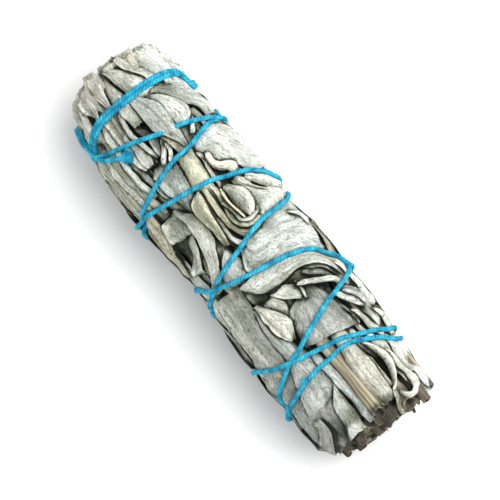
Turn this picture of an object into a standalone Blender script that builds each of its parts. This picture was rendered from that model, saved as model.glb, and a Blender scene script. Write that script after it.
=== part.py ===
"""A dried white sage bunch, bound with one cotton string and lying on its side.

Metres, +Z up. +X runs from the leafy tip end to the cut stem end. The bunch rests on its pressed
underside at z = 0. A place on the bunch is given by its station along the axis, from the tip end,
and by how far across it lies as seen from above, or by an angle from the top towards +Y.
"""

import itertools
import math
import random

import bmesh
import bpy
import numpy as np
from mathutils import Matrix, Vector

# Driving dimensions
LENGTH = 0.130
AXIS_HEIGHT = 0.0176
BLADE_THICKNESS = 0.0009
STRING_RADIUS = 0.00065
GAP = 0.00034
SEED = 7

# Half width of the bunch at stations along it, on its +Y side and on its -Y side
UPPER_OUTLINE = (
    (0.000, 0.0085),
    (0.002, 0.0120),
    (0.005, 0.0158),
    (0.010, 0.0173),
    (0.030, 0.0176),
    (0.050, 0.0187),
    (0.080, 0.0198),
    (0.092, 0.0200),
    (0.108, 0.0187),
    (0.122, 0.0174),
    (0.127, 0.0150),
    (0.130, 0.0115),
)
LOWER_OUTLINE = (
    (0.000, 0.0060),
    (0.003, 0.0112),
    (0.007, 0.0142),
    (0.015, 0.0167),
    (0.030, 0.0190),
    (0.042, 0.0190),
    (0.058, 0.0174),
    (0.072, 0.0184),
    (0.100, 0.0193),
    (0.121, 0.0188),
    (0.126, 0.0150),
    (0.130, 0.0110),
)

# The packed middle of the bunch, under the leaves that show
CORE_INSET = 0.0022
CORE_ENDS = (0.008, 0.1215)
CORE_RINGS = 7
CORE_SIDES = 14
CORE_FLOOR = 0.0007

# Leaves: how the blades are divided, the share of the width left at both ends, how deep their
# roots go, how they wave and hang, and how far the string presses them in
BLADE_STEPS = 4
BLUNT_END = 0.34
LEAF_WAVES = 4.5
NARROW_LEAF = 0.0043
ROOT_DEPTH = 0.0037
EDGE_WAVE = 0.0003
EDGE_CUT = 0.13
EDGE_DROOP = 0.0013
LEAF_GAP = 0.0001
HIGHEST_LEAF = -0.0004
PRESS_DEPTH = 0.0022
PRESS_REACH = 0.0045
PRESS_SPARE = 0.0003
RESTING_FLOOR = -0.0004

# The record of how high the leaves laid so far reach: its cell, and how far a leaf looks round
CELL = 0.001
LOOK_ROUND = 2
STRING_LOOK_ROUND = 3

# Each leaf on the side that faces up: station and offset of its root, middle and tip, its
# width, and its layer, counted from the outside in; the deepest layer is laid first
TOP_LEAVES = (
    # Tips gathered at the leafy end
    (((0.0165, 0.0030), (0.0090, 0.0025), (0.0003, 0.0015)), 0.0090, 0.0003),
    (((0.0190, 0.0085), (0.0100, 0.0085), (0.0020, 0.0070)), 0.0052, 0.0006),
    (((0.0190, 0.0130), (0.0110, 0.0128), (0.0030, 0.0110)), 0.0052, 0.0004),
    (((0.0230, 0.0160), (0.0140, 0.0163), (0.0050, 0.0140)), 0.0048, 0.0005),
    (((0.0210, -0.0026), (0.0120, -0.0028), (0.0020, -0.0030)), 0.0046, 0.0004),
    (((0.0040, -0.0058), (0.0180, -0.0062), (0.0320, -0.0062)), 0.0050, 0.0002),
    (((0.0060, -0.0092), (0.0220, -0.0112), (0.0370, -0.0110)), 0.0042, 0.0005),
    (((0.0070, -0.0120), (0.0220, -0.0145), (0.0410, -0.0138)), 0.0046, 0.0006),
    (((0.0080, -0.0135), (0.0320, -0.0172), (0.0570, -0.0165)), 0.0062, 0.0002),
    (((0.0130, 0.0090), (0.0220, 0.0130), (0.0315, 0.0155)), 0.0060, 0.0004),
    (((0.0170, 0.0062), (0.0230, 0.0085), (0.0292, 0.0088)), 0.0048, 0.0005),
    (((0.0130, 0.0016), (0.0230, 0.0033), (0.0335, 0.0056)), 0.0066, -0.0006),
    # Folded leaves of the middle
    (((0.0320, 0.0108), (0.0410, 0.0128), (0.0500, 0.0165)), 0.0082, 0.0002),
    (((0.0372, 0.0072), (0.0422, 0.0090), (0.0474, 0.0128)), 0.0024, -0.0002),
    (((0.0350, 0.0030), (0.0470, 0.0018), (0.0600, 0.0020)), 0.0050, 0.0001),
    (((0.0330, -0.0030), (0.0405, -0.0050), (0.0485, -0.0048)), 0.0082, 0.0010),
    (((0.0450, 0.0035), (0.0560, 0.0040), (0.0615, 0.0085)), 0.0040, 0.0002),
    (((0.0460, -0.0008), (0.0550, -0.0014), (0.0630, 0.0004)), 0.0034, 0.0004),
    (((0.0450, -0.0026), (0.0525, -0.0047), (0.0615, -0.0044)), 0.0032, 0.0002),
    (((0.0480, 0.0072), (0.0540, 0.0075), (0.0605, 0.0085)), 0.0046, 0.0008),
    (((0.0480, 0.0108), (0.0545, 0.0130), (0.0605, 0.0178)), 0.0036, 0.0000),
    (((0.0440, -0.0112), (0.0545, -0.0060), (0.0695, -0.0140)), 0.0042, -0.0001),
    (((0.0435, -0.0126), (0.0490, -0.0128), (0.0540, -0.0126)), 0.0056, 0.0007),
    (((0.0530, -0.0116), (0.0600, -0.0138), (0.0670, -0.0165)), 0.0040, 0.0004),
    (((0.0712, -0.0045), (0.0702, 0.0070), (0.0690, 0.0180)), 0.0155, 0.0000),
    (((0.0730, -0.0085), (0.0782, 0.0030), (0.0860, 0.0168)), 0.0042, 0.0003),
    (((0.0812, 0.0048), (0.0848, 0.0108), (0.0892, 0.0166)), 0.0024, 0.0001),
    (((0.0782, 0.0006), (0.0818, 0.0020), (0.0858, 0.0026)), 0.0052, 0.0008),
    (((0.0825, 0.0042), (0.0910, 0.0038), (0.0990, 0.0030)), 0.0150, -0.0001),
    (((0.0785, -0.0088), (0.0860, -0.0062), (0.0925, -0.0066)), 0.0054, 0.0002),
    (((0.0612, -0.0058), (0.0662, -0.0068), (0.0718, -0.0068)), 0.0056, 0.0003),
    (((0.0695, -0.0124), (0.0850, -0.0134), (0.1020, -0.0150)), 0.0062, 0.0003),
    (((0.0820, -0.0095), (0.1040, -0.0085), (0.1255, -0.0125)), 0.0070, 0.0001),
    (((0.0830, -0.0168), (0.1040, -0.0178), (0.1250, -0.0165)), 0.0052, 0.0004),
    # Rolled leaves and narrow strips between the stems of the cut end
    (((0.0825, 0.0180), (0.0940, 0.0182), (0.1060, 0.0172)), 0.0032, 0.0002),
    (((0.0885, 0.0128), (0.0980, 0.0150), (0.1090, 0.0150)), 0.0032, 0.0001),
    (((0.0945, 0.0118), (0.1040, 0.0116), (0.1120, 0.0110)), 0.0030, 0.0001),
    (((0.1020, 0.0085), (0.1110, 0.0107), (0.1210, 0.0085)), 0.0026, 0.0004),
    (((0.1040, 0.0135), (0.1150, 0.0137), (0.1262, 0.0122)), 0.0032, 0.0003),
    (((0.1060, 0.0164), (0.1160, 0.0166), (0.1262, 0.0148)), 0.0036, 0.0002),
    (((0.0975, -0.0038), (0.1100, -0.0030), (0.1230, -0.0024)), 0.0028, 0.0002),
    (((0.1060, -0.0070), (0.1150, -0.0076), (0.1262, -0.0078)), 0.0054, 0.0007),
    (((0.1100, -0.0135), (0.1180, -0.0150), (0.1275, -0.0145)), 0.0046, 0.0000),
)

# Leaves of the flanks and the underside follow a rule: rows round the bunch, from the angle
# where the listed leaves end on one side to where they end on the other
SIDE_ROWS = 6
SIDE_FIRST_ANGLE = math.radians(84.0)
SIDE_LAST_ANGLE = math.radians(276.0)
SIDE_LEAF_LENGTH = (0.034, 0.046)
SIDE_LEAF_WIDTH = (0.0092, 0.0125)
SIDE_LEAVES_A_ROW = 4
SIDE_ENDS = (0.0030, 0.1265)
SIDE_SLANT = 0.16

# Broad leaves pressed flat on the surface, in the clear spans between the turns of string
RESTING_LEAVES = ((0.0300, 0.011), (0.0450, 0.012), (0.0700, 0.014), (0.0985, 0.013))
RESTING_LEAF_LENGTH = 0.019

# Leaf ends that show inside each end of the bunch: radius and number
END_RINGS = ((0.0052, 2), (0.0108, 5))
END_BLADE_LENGTH = 0.015
END_BLADE_WIDTH = 0.0062
END_BLADE_REACH = (0.0020, 0.0055)
END_BLADE_CURL = (0.0004, 0.0016)

# Stems: inner station, outer station, offset, height over the axis and radius
STEMS = {
    "stem_split_end": (0.0970, 0.1215, 0.0049, 0.0150, 0.0023),
    "stem_with_nodes": (0.0965, 0.1250, -0.0001, 0.0159, 0.0018),
    "stem_hollow_end": (0.0800, 0.1292, 0.0073, 0.0102, 0.00225),
    "stem_thin": (0.0860, 0.1298, 0.0116, 0.0093, 0.0014),
    "stem_upper_inner": (0.0720, 0.1287, 0.0012, 0.0103, 0.0018),
    "stem_right_side": (0.0840, 0.1275, 0.0148, 0.0030, 0.0019),
    "stem_left_upper": (0.0800, 0.1252, -0.0045, 0.0086, 0.0016),
    "stem_left_side": (0.0740, 0.1262, -0.0105, 0.0055, 0.0017),
    "stem_left_lower": (0.0820, 0.1255, -0.0135, -0.0020, 0.0015),
    "stem_left_inner": (0.0640, 0.1270, -0.0070, -0.0030, 0.0020),
    "stem_centre": (0.0600, 0.1282, 0.0005, 0.0025, 0.0021),
    "stem_right_inner": (0.0700, 0.1280, 0.0080, -0.0025, 0.0018),
    "stem_right_lower": (0.0760, 0.1265, 0.0030, -0.0080, 0.0017),
    "stem_low": (0.0800, 0.1275, -0.0050, -0.0100, 0.0016),
}
STEM_SIDES = 8
PITH_SHARE = 0.48
STEM_LEAN = 0.0004
PITH_DEPTH = 0.0025
HOLE_OVERRUN = 0.012

# The string: each turn climbs across the upper side from the -Y edge to the +Y edge, and goes
# back under the bunch to the first point of the next turn. It lies on the leaves, except where
# a third value marks the point that the tip of a leaf covers
LOOSE = 0.0
COVERED = 1.0
COVERED_DEPTH = 0.0016
STRING_STEP = 0.0072
KNOT = (0.0200, -0.0168)
FIRST_TURN = (
    (0.0183, -0.0163),
    (0.0157, -0.0133),
    (0.0137, -0.0093),
    (0.0132, -0.0033),
    (0.0133, 0.0033),
    (0.0138, 0.0087),
    (0.0147, 0.0130),
    (0.0167, 0.0160),
    (0.0205, 0.0173),
)
SECOND_TURN_SHIFT = 0.00148
TURNS = (
    (
        KNOT,
        (0.0218, -0.0133),
        (0.0233, -0.0080),
        (0.0250, -0.0027),
        (0.0262, 0.0010),
        (0.0269, 0.0036, COVERED),
        (0.0276, 0.0064),
        (0.0290, 0.0100),
        (0.0310, 0.0143),
        (0.0333, 0.0172),
    ),
    (
        (0.0420, -0.0186),
        (0.0417, -0.0155),
        (0.0425, -0.0100),
        (0.0435, -0.0033),
        (0.0447, 0.0027),
        (0.0463, 0.0087),
        (0.0483, 0.0133),
        (0.0515, 0.0172),
        (0.0550, 0.0186),
    ),
    (
        (0.0660, -0.0176),
        (0.0683, -0.0153),
        (0.0700, -0.0100),
        (0.0712, -0.0047),
        (0.0722, 0.0007),
        (0.0733, 0.0063),
        (0.0752, 0.0117),
        (0.0777, 0.0160),
        (0.0815, 0.0190),
        (0.0860, 0.0196),
    ),
    (
        (0.0930, -0.0190),
        (0.0950, -0.0165),
        (0.0965, -0.0117),
        (0.0977, -0.0063),
        (0.0987, -0.0010),
        (0.1000, 0.0043),
        (0.1020, 0.0090),
        (0.1050, 0.0150),
        (0.1068, 0.0172),
    ),
    (
        (0.1070, -0.0190),
        (0.1053, -0.0153),
        (0.1037, -0.0110),
        (0.1027, -0.0060),
        (0.1023, -0.0007),
        (0.1022, 0.0047),
        (0.1038, 0.0087),
        (0.1070, 0.0140),
        (0.1102, 0.0172),
    ),
    (
        (0.1078, -0.0190),
        (0.1033, -0.0185),
        (0.1000, -0.0157),
        (0.0973, -0.0120),
        (0.0957, -0.0070),
        (0.0937, -0.0020),
        (0.0918, 0.0033),
        (0.0902, 0.0080),
        (0.0893, 0.0123),
        (0.0880, 0.0176),
        (0.0868, 0.0195),
    ),
    (
        (0.0722, -0.0182),
        (0.0693, -0.0153),
        (0.0672, -0.0113),
        (0.0657, -0.0067),
        (0.0642, -0.0013),
        (0.0627, 0.0040),
        (0.0618, 0.0093),
        (0.0618, 0.0147),
        (0.0617, 0.0186),
    ),
    (
        (0.0424, -0.0186),
        (0.0395, -0.0150),
        (0.0373, -0.0100),
        (0.0355, -0.0047),
        (0.0343, 0.0007),
        (0.0338, 0.0067),
        (0.0325, 0.0120),
        (0.0322, 0.0153),
        (0.0330, 0.0172),
    ),
)
LAST_RETURN = (0.0120, -0.0158)
TAIL = (KNOT, (0.0227, -0.0143), (0.0243, -0.0117), (0.0257, -0.0095))
TUFT_RADIUS = 0.00042
TUFT_SIDES = 6
TUFT_TIPS = ((0.0282, -0.0079), (0.0279, -0.0092), (0.0268, -0.0108))
KNOTS = ((KNOT, 0.0013), ((0.1033, -0.0105), 0.0011))

BUNCH_COLLECTION = "sage_bunch"
CUTTER_COLLECTION = "cutters"
FAR = 0.2


def clear_scene():
    """Remove the objects that the file starts with."""
    for item in list(bpy.data.objects):
        bpy.data.objects.remove(item, do_unlink=True)


def new_collection(name):
    """Make a collection and hang it under the scene."""
    made = bpy.data.collections.new(name)
    bpy.context.scene.collection.children.link(made)
    return made


def material(name, colour, roughness):
    """Make a plain material of one colour."""
    made = bpy.data.materials.new(name)
    made.use_nodes = True
    shader = made.node_tree.nodes["Principled BSDF"]
    shader.inputs["Base Color"].default_value = (*colour, 1.0)
    shader.inputs["Roughness"].default_value = roughness
    shader.inputs["Metallic"].default_value = 0.0
    made.diffuse_color = (*colour, 1.0)
    return made


def outline_radius(station, angle):
    """Distance from the axis to the outline of the bunch."""
    upper = np.interp(station, *zip(*UPPER_OUTLINE))
    lower = np.interp(station, *zip(*LOWER_OUTLINE))
    share = 0.5 + 0.5 * math.sin(angle)
    return float(lower + (upper - lower) * share)


def angle_at(station, offset):
    """Angle from the top of the bunch to a point seen from above at an offset."""
    side = outline_radius(station, math.copysign(math.pi / 2, offset))
    return math.asin(max(-1.0, min(1.0, offset / side)))


def point_at(station, angle, depth, floor=-FAR):
    """The point at a depth below the outline, no lower than floor."""
    radius = outline_radius(station, angle) - depth
    height = AXIS_HEIGHT + radius * math.cos(angle)
    return Vector((station - LENGTH / 2, radius * math.sin(angle), max(height, floor)))


def smooth_route(points, step):
    """Points a step apart along a Catmull-Rom curve through rows of numbers."""
    rows = np.array(points, dtype=float)
    rows = np.vstack((2 * rows[0] - rows[1], rows, 2 * rows[-1] - rows[-2]))
    fine = []
    for index in range(1, len(rows) - 2):
        before, start, end, after = rows[index - 1 : index + 3]
        for part in np.linspace(0.0, 1.0, 12, endpoint=False):
            curve = 2 * start + (end - before) * part
            curve = curve + (2 * before - 5 * start + 4 * end - after) * part**2
            curve = curve + (3 * start - before - 3 * end + after) * part**3
            fine.append(curve / 2)
    fine = np.array(fine + [rows[-2]])
    spans = np.hypot(np.diff(fine[:, 0]), np.diff(fine[:, 1]) * AXIS_HEIGHT)
    along = np.concatenate(((0.0,), np.cumsum(spans)))
    count = max(2, round(along[-1] / step) + 1)
    places = np.linspace(0.0, along[-1], count)
    return np.stack([np.interp(places, along, column) for column in fine.T], axis=1)


def string_rows(points):
    """Station, angle and cover of each listed point of the string."""
    rows = []
    for place in points:
        cover = place[2] if len(place) > 2 else LOOSE
        rows.append((place[0], angle_at(place[0], place[1]), cover))
    return rows


def string_turns():
    """The turns of the string, each from the -Y edge over the bunch and back under it."""
    listed = [FIRST_TURN]
    listed.append([(place[0] + SECOND_TURN_SHIFT, place[1]) for place in FIRST_TURN])
    listed.extend(TURNS)
    ends = [LAST_RETURN, LAST_RETURN]
    ends.extend(turn[0] for turn in TURNS[1:])
    ends.append(LAST_RETURN)
    routes = []
    for number, (turn, end) in enumerate(zip(listed, ends)):
        rows = string_rows(turn)
        last = string_rows((end,))[0]
        shift = SECOND_TURN_SHIFT if number == 1 else 0.0
        start_station, start_angle, _ = rows[-1]
        end_station, end_angle, _ = last
        for share in np.linspace(0.0, 1.0, 8)[1:]:
            station = start_station + (end_station + shift - start_station) * share
            angle = start_angle + (end_angle + 2 * math.pi - start_angle) * share
            rows.append((station, angle, LOOSE))
        if end is LAST_RETURN:
            station, angle, _ = string_rows((KNOT,))[0]
            rows.append((station + shift, angle + 2 * math.pi, LOOSE))
        routes.append(smooth_route(rows, STRING_STEP))
    return routes


def settled(route, laid):
    """The string's route with the depth at which it lies on the leaves, or under one."""
    stations, angles, covers = route.T
    places = zip(stations, angles)
    resting = np.array([laid.above(*place, STRING_LOOK_ROUND) for place in places])
    resting = resting - STRING_RADIUS - GAP - LEAF_GAP
    padded = np.pad(resting, 1, mode="edge")
    taut = np.minimum(resting, (padded[:-2] + resting + padded[2:]) / 3)
    covers = np.clip(covers, 0.0, 1.0)
    return np.stack((stations, angles, taut + (COVERED_DEPTH - taut) * covers), axis=1)


def string_marks(routes):
    """Station and angle of points along the string, for the press on the leaves."""
    rows = np.vstack(routes)
    return rows[:, 0], rows[:, 1]


def press(station, angle, marks):
    """How far the string presses the leaves in at a place."""
    stations, angles = marks
    across = (angles - angle + math.pi) % (2 * math.pi) - math.pi
    reach = np.hypot(stations - station, across * AXIS_HEIGHT).min()
    return PRESS_DEPTH * math.exp(-((reach / PRESS_REACH) ** 2))


def mesh_object(name, mesh, collection):
    """Put a mesh in a collection as an object."""
    made = bpy.data.objects.new(name, mesh)
    collection.objects.link(made)
    return made


def evaluated_mesh(item):
    """The mesh of an object with its modifiers applied."""
    graph = bpy.context.evaluated_depsgraph_get()
    return bpy.data.meshes.new_from_object(item.evaluated_get(graph))


def closed_tube(route, radius, name, collection):
    """A round tube with closed ends along a list of points, as a mesh."""
    curve = bpy.data.curves.new(name, "CURVE")
    curve.dimensions = "3D"
    curve.bevel_depth = radius
    curve.bevel_resolution = 2
    curve.use_fill_caps = True
    spline = curve.splines.new("POLY")
    spline.points.add(len(route) - 1)
    for place, point in zip(route, spline.points):
        point.co = (*place, 1.0)
    drawn = bpy.data.objects.new(name, curve)
    collection.objects.link(drawn)
    mesh = evaluated_mesh(drawn)
    bpy.data.objects.remove(drawn, do_unlink=True)
    work = bmesh.new()
    work.from_mesh(mesh)
    bmesh.ops.remove_doubles(work, verts=work.verts, dist=0.00001)
    bmesh.ops.recalc_face_normals(work, faces=work.faces)
    work.to_mesh(mesh)
    work.free()
    return mesh_object(name, mesh, collection)


class LaidLeaves:
    """How deep the outermost leaf surface lies, in cells of station and angle."""

    def __init__(self):
        self.rows = round(LENGTH / CELL) + 1
        self.columns = round(2 * math.pi * AXIS_HEIGHT / CELL)
        self.depth = np.full((self.rows, self.columns), CORE_INSET)

    def cell(self, station, angle):
        """The cell of a place."""
        row = min(self.rows - 1, max(0, round(station / CELL)))
        return row, round(angle / (2 * math.pi) * self.columns) % self.columns

    def above(self, station, angle, reach=LOOK_ROUND):
        """The depth of the highest leaf close to a place."""
        row, column = self.cell(station, angle)
        rows = slice(max(0, row - reach), row + reach + 1)
        columns = np.arange(column - reach, column + reach + 1) % self.columns
        return float(self.depth[rows][:, columns].min())

    def cover(self, corners):
        """Mark the quadrilateral between four places of station, angle and depth."""
        one, two, three, four = (np.array(corner) for corner in corners)
        for along in np.linspace(0, 1, 12):
            for across in np.linspace(0, 1, 8):
                near = one + (two - one) * across
                far = four + (three - four) * across
                station, angle, depth = near + (far - near) * along
                spot = self.cell(station, angle)
                self.depth[spot] = min(self.depth[spot], depth - BLADE_THICKNESS / 2)


def blade(route, width, wave_start, marks, laid, collection):
    """One leaf: a waved lance outline laid over those before it, its root sunk in the core."""
    rows = [(station, angle * AXIS_HEIGHT) for station, angle in route]
    start, middle, end = (Vector(row) for row in rows)
    bend = 2 * middle - (start + end) / 2
    sides = (-1, 1) if width < NARROW_LEAF else (-1, 0, 1)
    places = []
    for step in range(BLADE_STEPS + 1):
        along = step / BLADE_STEPS
        spine = start * (1 - along) ** 2 + bend * 2 * along * (1 - along) + end * along**2
        course = (bend - start) * (1 - along) + (end - bend) * along
        across = Vector((-course.y, course.x)).normalized()
        full = width / 2 * (BLUNT_END + (1 - BLUNT_END) * math.sin(math.pi * along) ** 0.7)
        ridge = laid.above(spine.x, spine.y / AXIS_HEIGHT) - BLADE_THICKNESS / 2 - LEAF_GAP
        ridge = max(ridge, HIGHEST_LEAF)
        for side in sides:
            wave = math.sin(along * LEAF_WAVES * math.pi + wave_start + side)
            spot = spine + across * side * full * (1 + EDGE_CUT * wave)
            angle = spot.y / AXIS_HEIGHT
            low = laid.above(spot.x, angle) - BLADE_THICKNESS / 2 - LEAF_GAP
            low = min(low, ridge + EDGE_DROOP) + EDGE_WAVE * wave if side else ridge
            low = ROOT_DEPTH if step == 0 else max(low, press(spot.x, angle, marks) - PRESS_SPARE)
            places.append((spot.x, angle, low))
    columns = len(sides)
    for index in range(BLADE_STEPS):
        for side in range(columns - 1):
            first = columns * index + side
            after = first + columns
            laid.cover((places[first], places[first + 1], places[after + 1], places[after]))
    work = bmesh.new()
    bmesh.ops.create_grid(work, x_segments=BLADE_STEPS, y_segments=columns - 1, size=1.0)
    for vert in work.verts:
        step = round((vert.co.x + 1) / 2 * BLADE_STEPS)
        column = round((vert.co.y + 1) / 2 * (columns - 1))
        station, angle, low = places[columns * step + column]
        vert.co = point_at(station, angle, low, RESTING_FLOOR + 0.5 * max(0.0, low))
    bmesh.ops.triangulate(work, faces=work.faces)
    mesh = bpy.data.meshes.new("leaf")
    work.to_mesh(mesh)
    work.free()
    made = mesh_object("leaf", mesh, collection)
    solid = made.modifiers.new("thickness", "SOLIDIFY")
    solid.thickness = BLADE_THICKNESS
    solid.offset = 0.0
    return made


def top_leaves(draw, marks, laid, collection):
    """The leaves that face up, as listed, the deepest first."""
    for listed, width, _ in sorted(TOP_LEAVES, key=lambda row: -row[2]):
        route = [(station, angle_at(station, offset)) for station, offset in listed]
        blade(route, width, draw.uniform(0, 6), marks, laid, collection)


def side_leaves(draw, marks, laid, collection):
    """The leaves of the flanks and the underside, in rows with seeded draws."""
    for row in range(SIDE_ROWS):
        share = row / (SIDE_ROWS - 1)
        row_angle = SIDE_FIRST_ANGLE + (SIDE_LAST_ANGLE - SIDE_FIRST_ANGLE) * share
        for number in range(SIDE_LEAVES_A_ROW):
            length = draw.uniform(*SIDE_LEAF_LENGTH)
            shift = 0.5 * (row % 2)
            middle = LENGTH * (number + 0.3 + shift) / SIDE_LEAVES_A_ROW
            first = max(SIDE_ENDS[0], middle - length / 2)
            last = min(SIDE_ENDS[1], middle + length / 2)
            slant = draw.uniform(-SIDE_SLANT, SIDE_SLANT)
            angle = row_angle + draw.uniform(-0.1, 0.1)
            route = [(first, angle - slant), ((first + last) / 2, angle), (last, angle + slant)]
            if number == 0 or draw.random() < 0.3:
                route.reverse()
            width = draw.uniform(*SIDE_LEAF_WIDTH)
            blade(route, width, draw.uniform(0, 6), marks, laid, collection)


def resting_leaves(draw, marks, laid, collection):
    """The broad leaves that the bunch rests on."""
    for station, width in RESTING_LEAVES:
        half = RESTING_LEAF_LENGTH / 2
        route = [(station - half, math.pi), (station, math.pi), (station + half, math.pi)]
        blade(route, width, draw.uniform(0, 6), marks, laid, collection)


def end_leaves(draw, collection):
    """The leaf ends that show inside each end of the bunch."""
    for tip_end in (True, False):
        for radius, count in END_RINGS:
            for number in range(count):
                angle = 2 * math.pi * (number + draw.uniform(0.0, 0.6)) / count
                reach = draw.uniform(*END_BLADE_REACH)
                outer = reach if tip_end else LENGTH - reach
                inner = outer + END_BLADE_LENGTH * (1 if tip_end else -1)
                end_blade(inner, outer, angle, radius, draw, collection)


def end_blade(inner, outer, angle, radius, draw, collection):
    """A short curled leaf end at its own radius inside the bunch."""
    curl = draw.uniform(*END_BLADE_CURL)
    phase = draw.uniform(0, 6)
    work = bmesh.new()
    bmesh.ops.create_grid(work, x_segments=2, y_segments=2, size=1.0)
    for vert in work.verts:
        along = (vert.co.x + 1) / 2
        side = vert.co.y
        station = inner + (outer - inner) * along
        turned = angle + side * END_BLADE_WIDTH / 2 / max(radius, END_BLADE_WIDTH / 2)
        away = radius - curl * side**2 + 0.0004 * math.sin(phase + 5 * along + 2 * side)
        height = AXIS_HEIGHT + away * math.cos(turned)
        vert.co = (station - LENGTH / 2, away * math.sin(turned), height)
    bmesh.ops.triangulate(work, faces=work.faces)
    mesh = bpy.data.meshes.new("leaf_end")
    work.to_mesh(mesh)
    work.free()
    made = mesh_object("leaf_end", mesh, collection)
    solid = made.modifiers.new("thickness", "SOLIDIFY")
    solid.thickness = BLADE_THICKNESS
    solid.offset = 0.0


def core_mesh():
    """The packed middle: a closed rounded log with a pressed underside."""
    work = bmesh.new()
    bmesh.ops.create_cone(
        work,
        cap_ends=True,
        segments=CORE_SIDES,
        radius1=1.0,
        radius2=1.0,
        depth=1.0,
        matrix=Matrix.Rotation(math.pi / 2, 4, "Y"),
    )
    long_edges = [edge for edge in work.edges if abs(edge.verts[0].co.x - edge.verts[1].co.x) > 0.5]
    bmesh.ops.subdivide_edges(work, edges=long_edges, cuts=CORE_RINGS, use_grid_fill=True)
    first, last = CORE_ENDS
    for vert in work.verts:
        station = first + (last - first) * (vert.co.x + 0.5)
        angle = math.atan2(vert.co.y, vert.co.z)
        ridge = 0.0004 * math.sin(7 * angle + 90 * station) + 0.0003 * math.sin(160 * station)
        vert.co = point_at(station, angle, CORE_INSET + ridge, CORE_FLOOR)
    bmesh.ops.triangulate(work, faces=work.faces)
    bmesh.ops.recalc_face_normals(work, faces=work.faces)
    mesh = bpy.data.meshes.new("leaf_bunch")
    work.to_mesh(mesh)
    work.free()
    return mesh


def island_volume(faces):
    """Volume that a set of triangles encloses, negative for a hollow."""
    total = 0.0
    for face in faces:
        one, two, three = (loop.vert.co for loop in face.loops)
        total += one.dot(two.cross(three)) / 6
    return total


def flip_shared_diagonals(work):
    """Turn the diagonals that a triangulation laid along an edge of another face."""
    for edge in [edge for edge in work.edges if len(edge.link_faces) == 4]:
        pairs = itertools.combinations(edge.link_faces, 2)
        flattest = max(pairs, key=lambda pair: pair[0].normal.dot(pair[1].normal))
        start, end = edge.verts
        tips = []
        for face in flattest:
            tips.extend(vert for vert in face.verts if vert not in (start, end))
        if work.edges.get(tips):
            continue
        first_loop = next(loop for loop in flattest[0].loops if loop.vert is start)
        forward = first_loop.link_loop_next.vert is end
        corners = (start, end) if forward else (end, start)
        for face in flattest:
            work.faces.remove(face)
        work.faces.new((tips[0], corners[0], tips[1]))
        work.faces.new((tips[1], corners[1], tips[0]))


def keep_main_body(mesh):
    """Fill the sealed hollows and drop the loose scraps that a union leaves."""
    work = bmesh.new()
    work.from_mesh(mesh)
    bmesh.ops.triangulate(work, faces=work.faces)
    work.normal_update()
    flip_shared_diagonals(work)
    unseen = set(work.faces)
    islands = []
    while unseen:
        island = [unseen.pop()]
        for face in island:
            for edge in face.edges:
                beside = [other for other in edge.link_faces if other in unseen]
                unseen.difference_update(beside)
                island.extend(beside)
        islands.append(island)
    main = max(islands, key=island_volume)
    loose = [face for island in islands if island is not main for face in island]
    bmesh.ops.delete(work, geom=loose, context="FACES")
    work.to_mesh(mesh)
    work.free()


def add_boolean(item, operation, collection):
    """Join a collection to an object, or cut it away."""
    joined = item.modifiers.new(operation.lower(), "BOOLEAN")
    joined.operation = operation
    joined.operand_type = "COLLECTION"
    joined.collection = collection
    joined.solver = "MANIFOLD"


def empty_collection(collection):
    """Remove a collection's objects once they are joined."""
    for item in list(collection.objects):
        bpy.data.objects.remove(item, do_unlink=True)


def stem_ends(row):
    """The inner and the outer end of a stem."""
    inner, outer, offset, height, _ = row
    lift = AXIS_HEIGHT + height
    start = Vector((inner - LENGTH / 2, offset, lift - STEM_LEAN))
    end = Vector((outer - LENGTH / 2, offset, lift))
    return start, end


def rod(start, end, radius, sides, name, collection):
    """A straight rod between two points."""
    work = bmesh.new()
    course = end - start
    turn = Vector((0, 0, 1)).rotation_difference(course).to_matrix().to_4x4()
    bmesh.ops.create_cone(
        work,
        cap_ends=True,
        segments=sides,
        radius1=radius,
        radius2=radius,
        depth=course.length,
        matrix=Matrix.Translation((start + end) / 2) @ turn,
    )
    mesh = bpy.data.meshes.new(name)
    work.to_mesh(mesh)
    work.free()
    return mesh_object(name, mesh, collection)


def make_stem(name, row, look, collection):
    """A cut stem with the hollow of its pith at the outer end."""
    start, end = stem_ends(row)
    stem = rod(start, end, row[-1], STEM_SIDES, name, collection)
    course = (end - start).normalized()
    work = bmesh.new()
    work.from_mesh(stem.data)
    cap = max(work.faces, key=lambda face: face.calc_center_median().x)
    rim = row[-1] * (1 - PITH_SHARE)
    bmesh.ops.inset_individual(work, faces=[cap], thickness=rim, use_even_offset=True)
    dug = bmesh.ops.extrude_face_region(work, geom=[cap])
    verts = [item for item in dug["geom"] if isinstance(item, bmesh.types.BMVert)]
    bmesh.ops.translate(work, verts=verts, vec=-course * PITH_DEPTH)
    bmesh.ops.delete(work, geom=[cap], context="FACES_ONLY")
    bmesh.ops.triangulate(work, faces=work.faces)
    bmesh.ops.recalc_face_normals(work, faces=work.faces)
    work.to_mesh(stem.data)
    work.free()
    stem.data.materials.append(look)
    stem.data.shade_smooth()
    stem.data.set_sharp_from_angle(angle=math.radians(50))
    return stem


def string_points(route):
    """Points in space along a route of the string, clear of the surface below it."""
    lowest = STRING_RADIUS + 0.0001
    return [point_at(station, angle, depth, lowest) for station, angle, depth in route]


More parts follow.
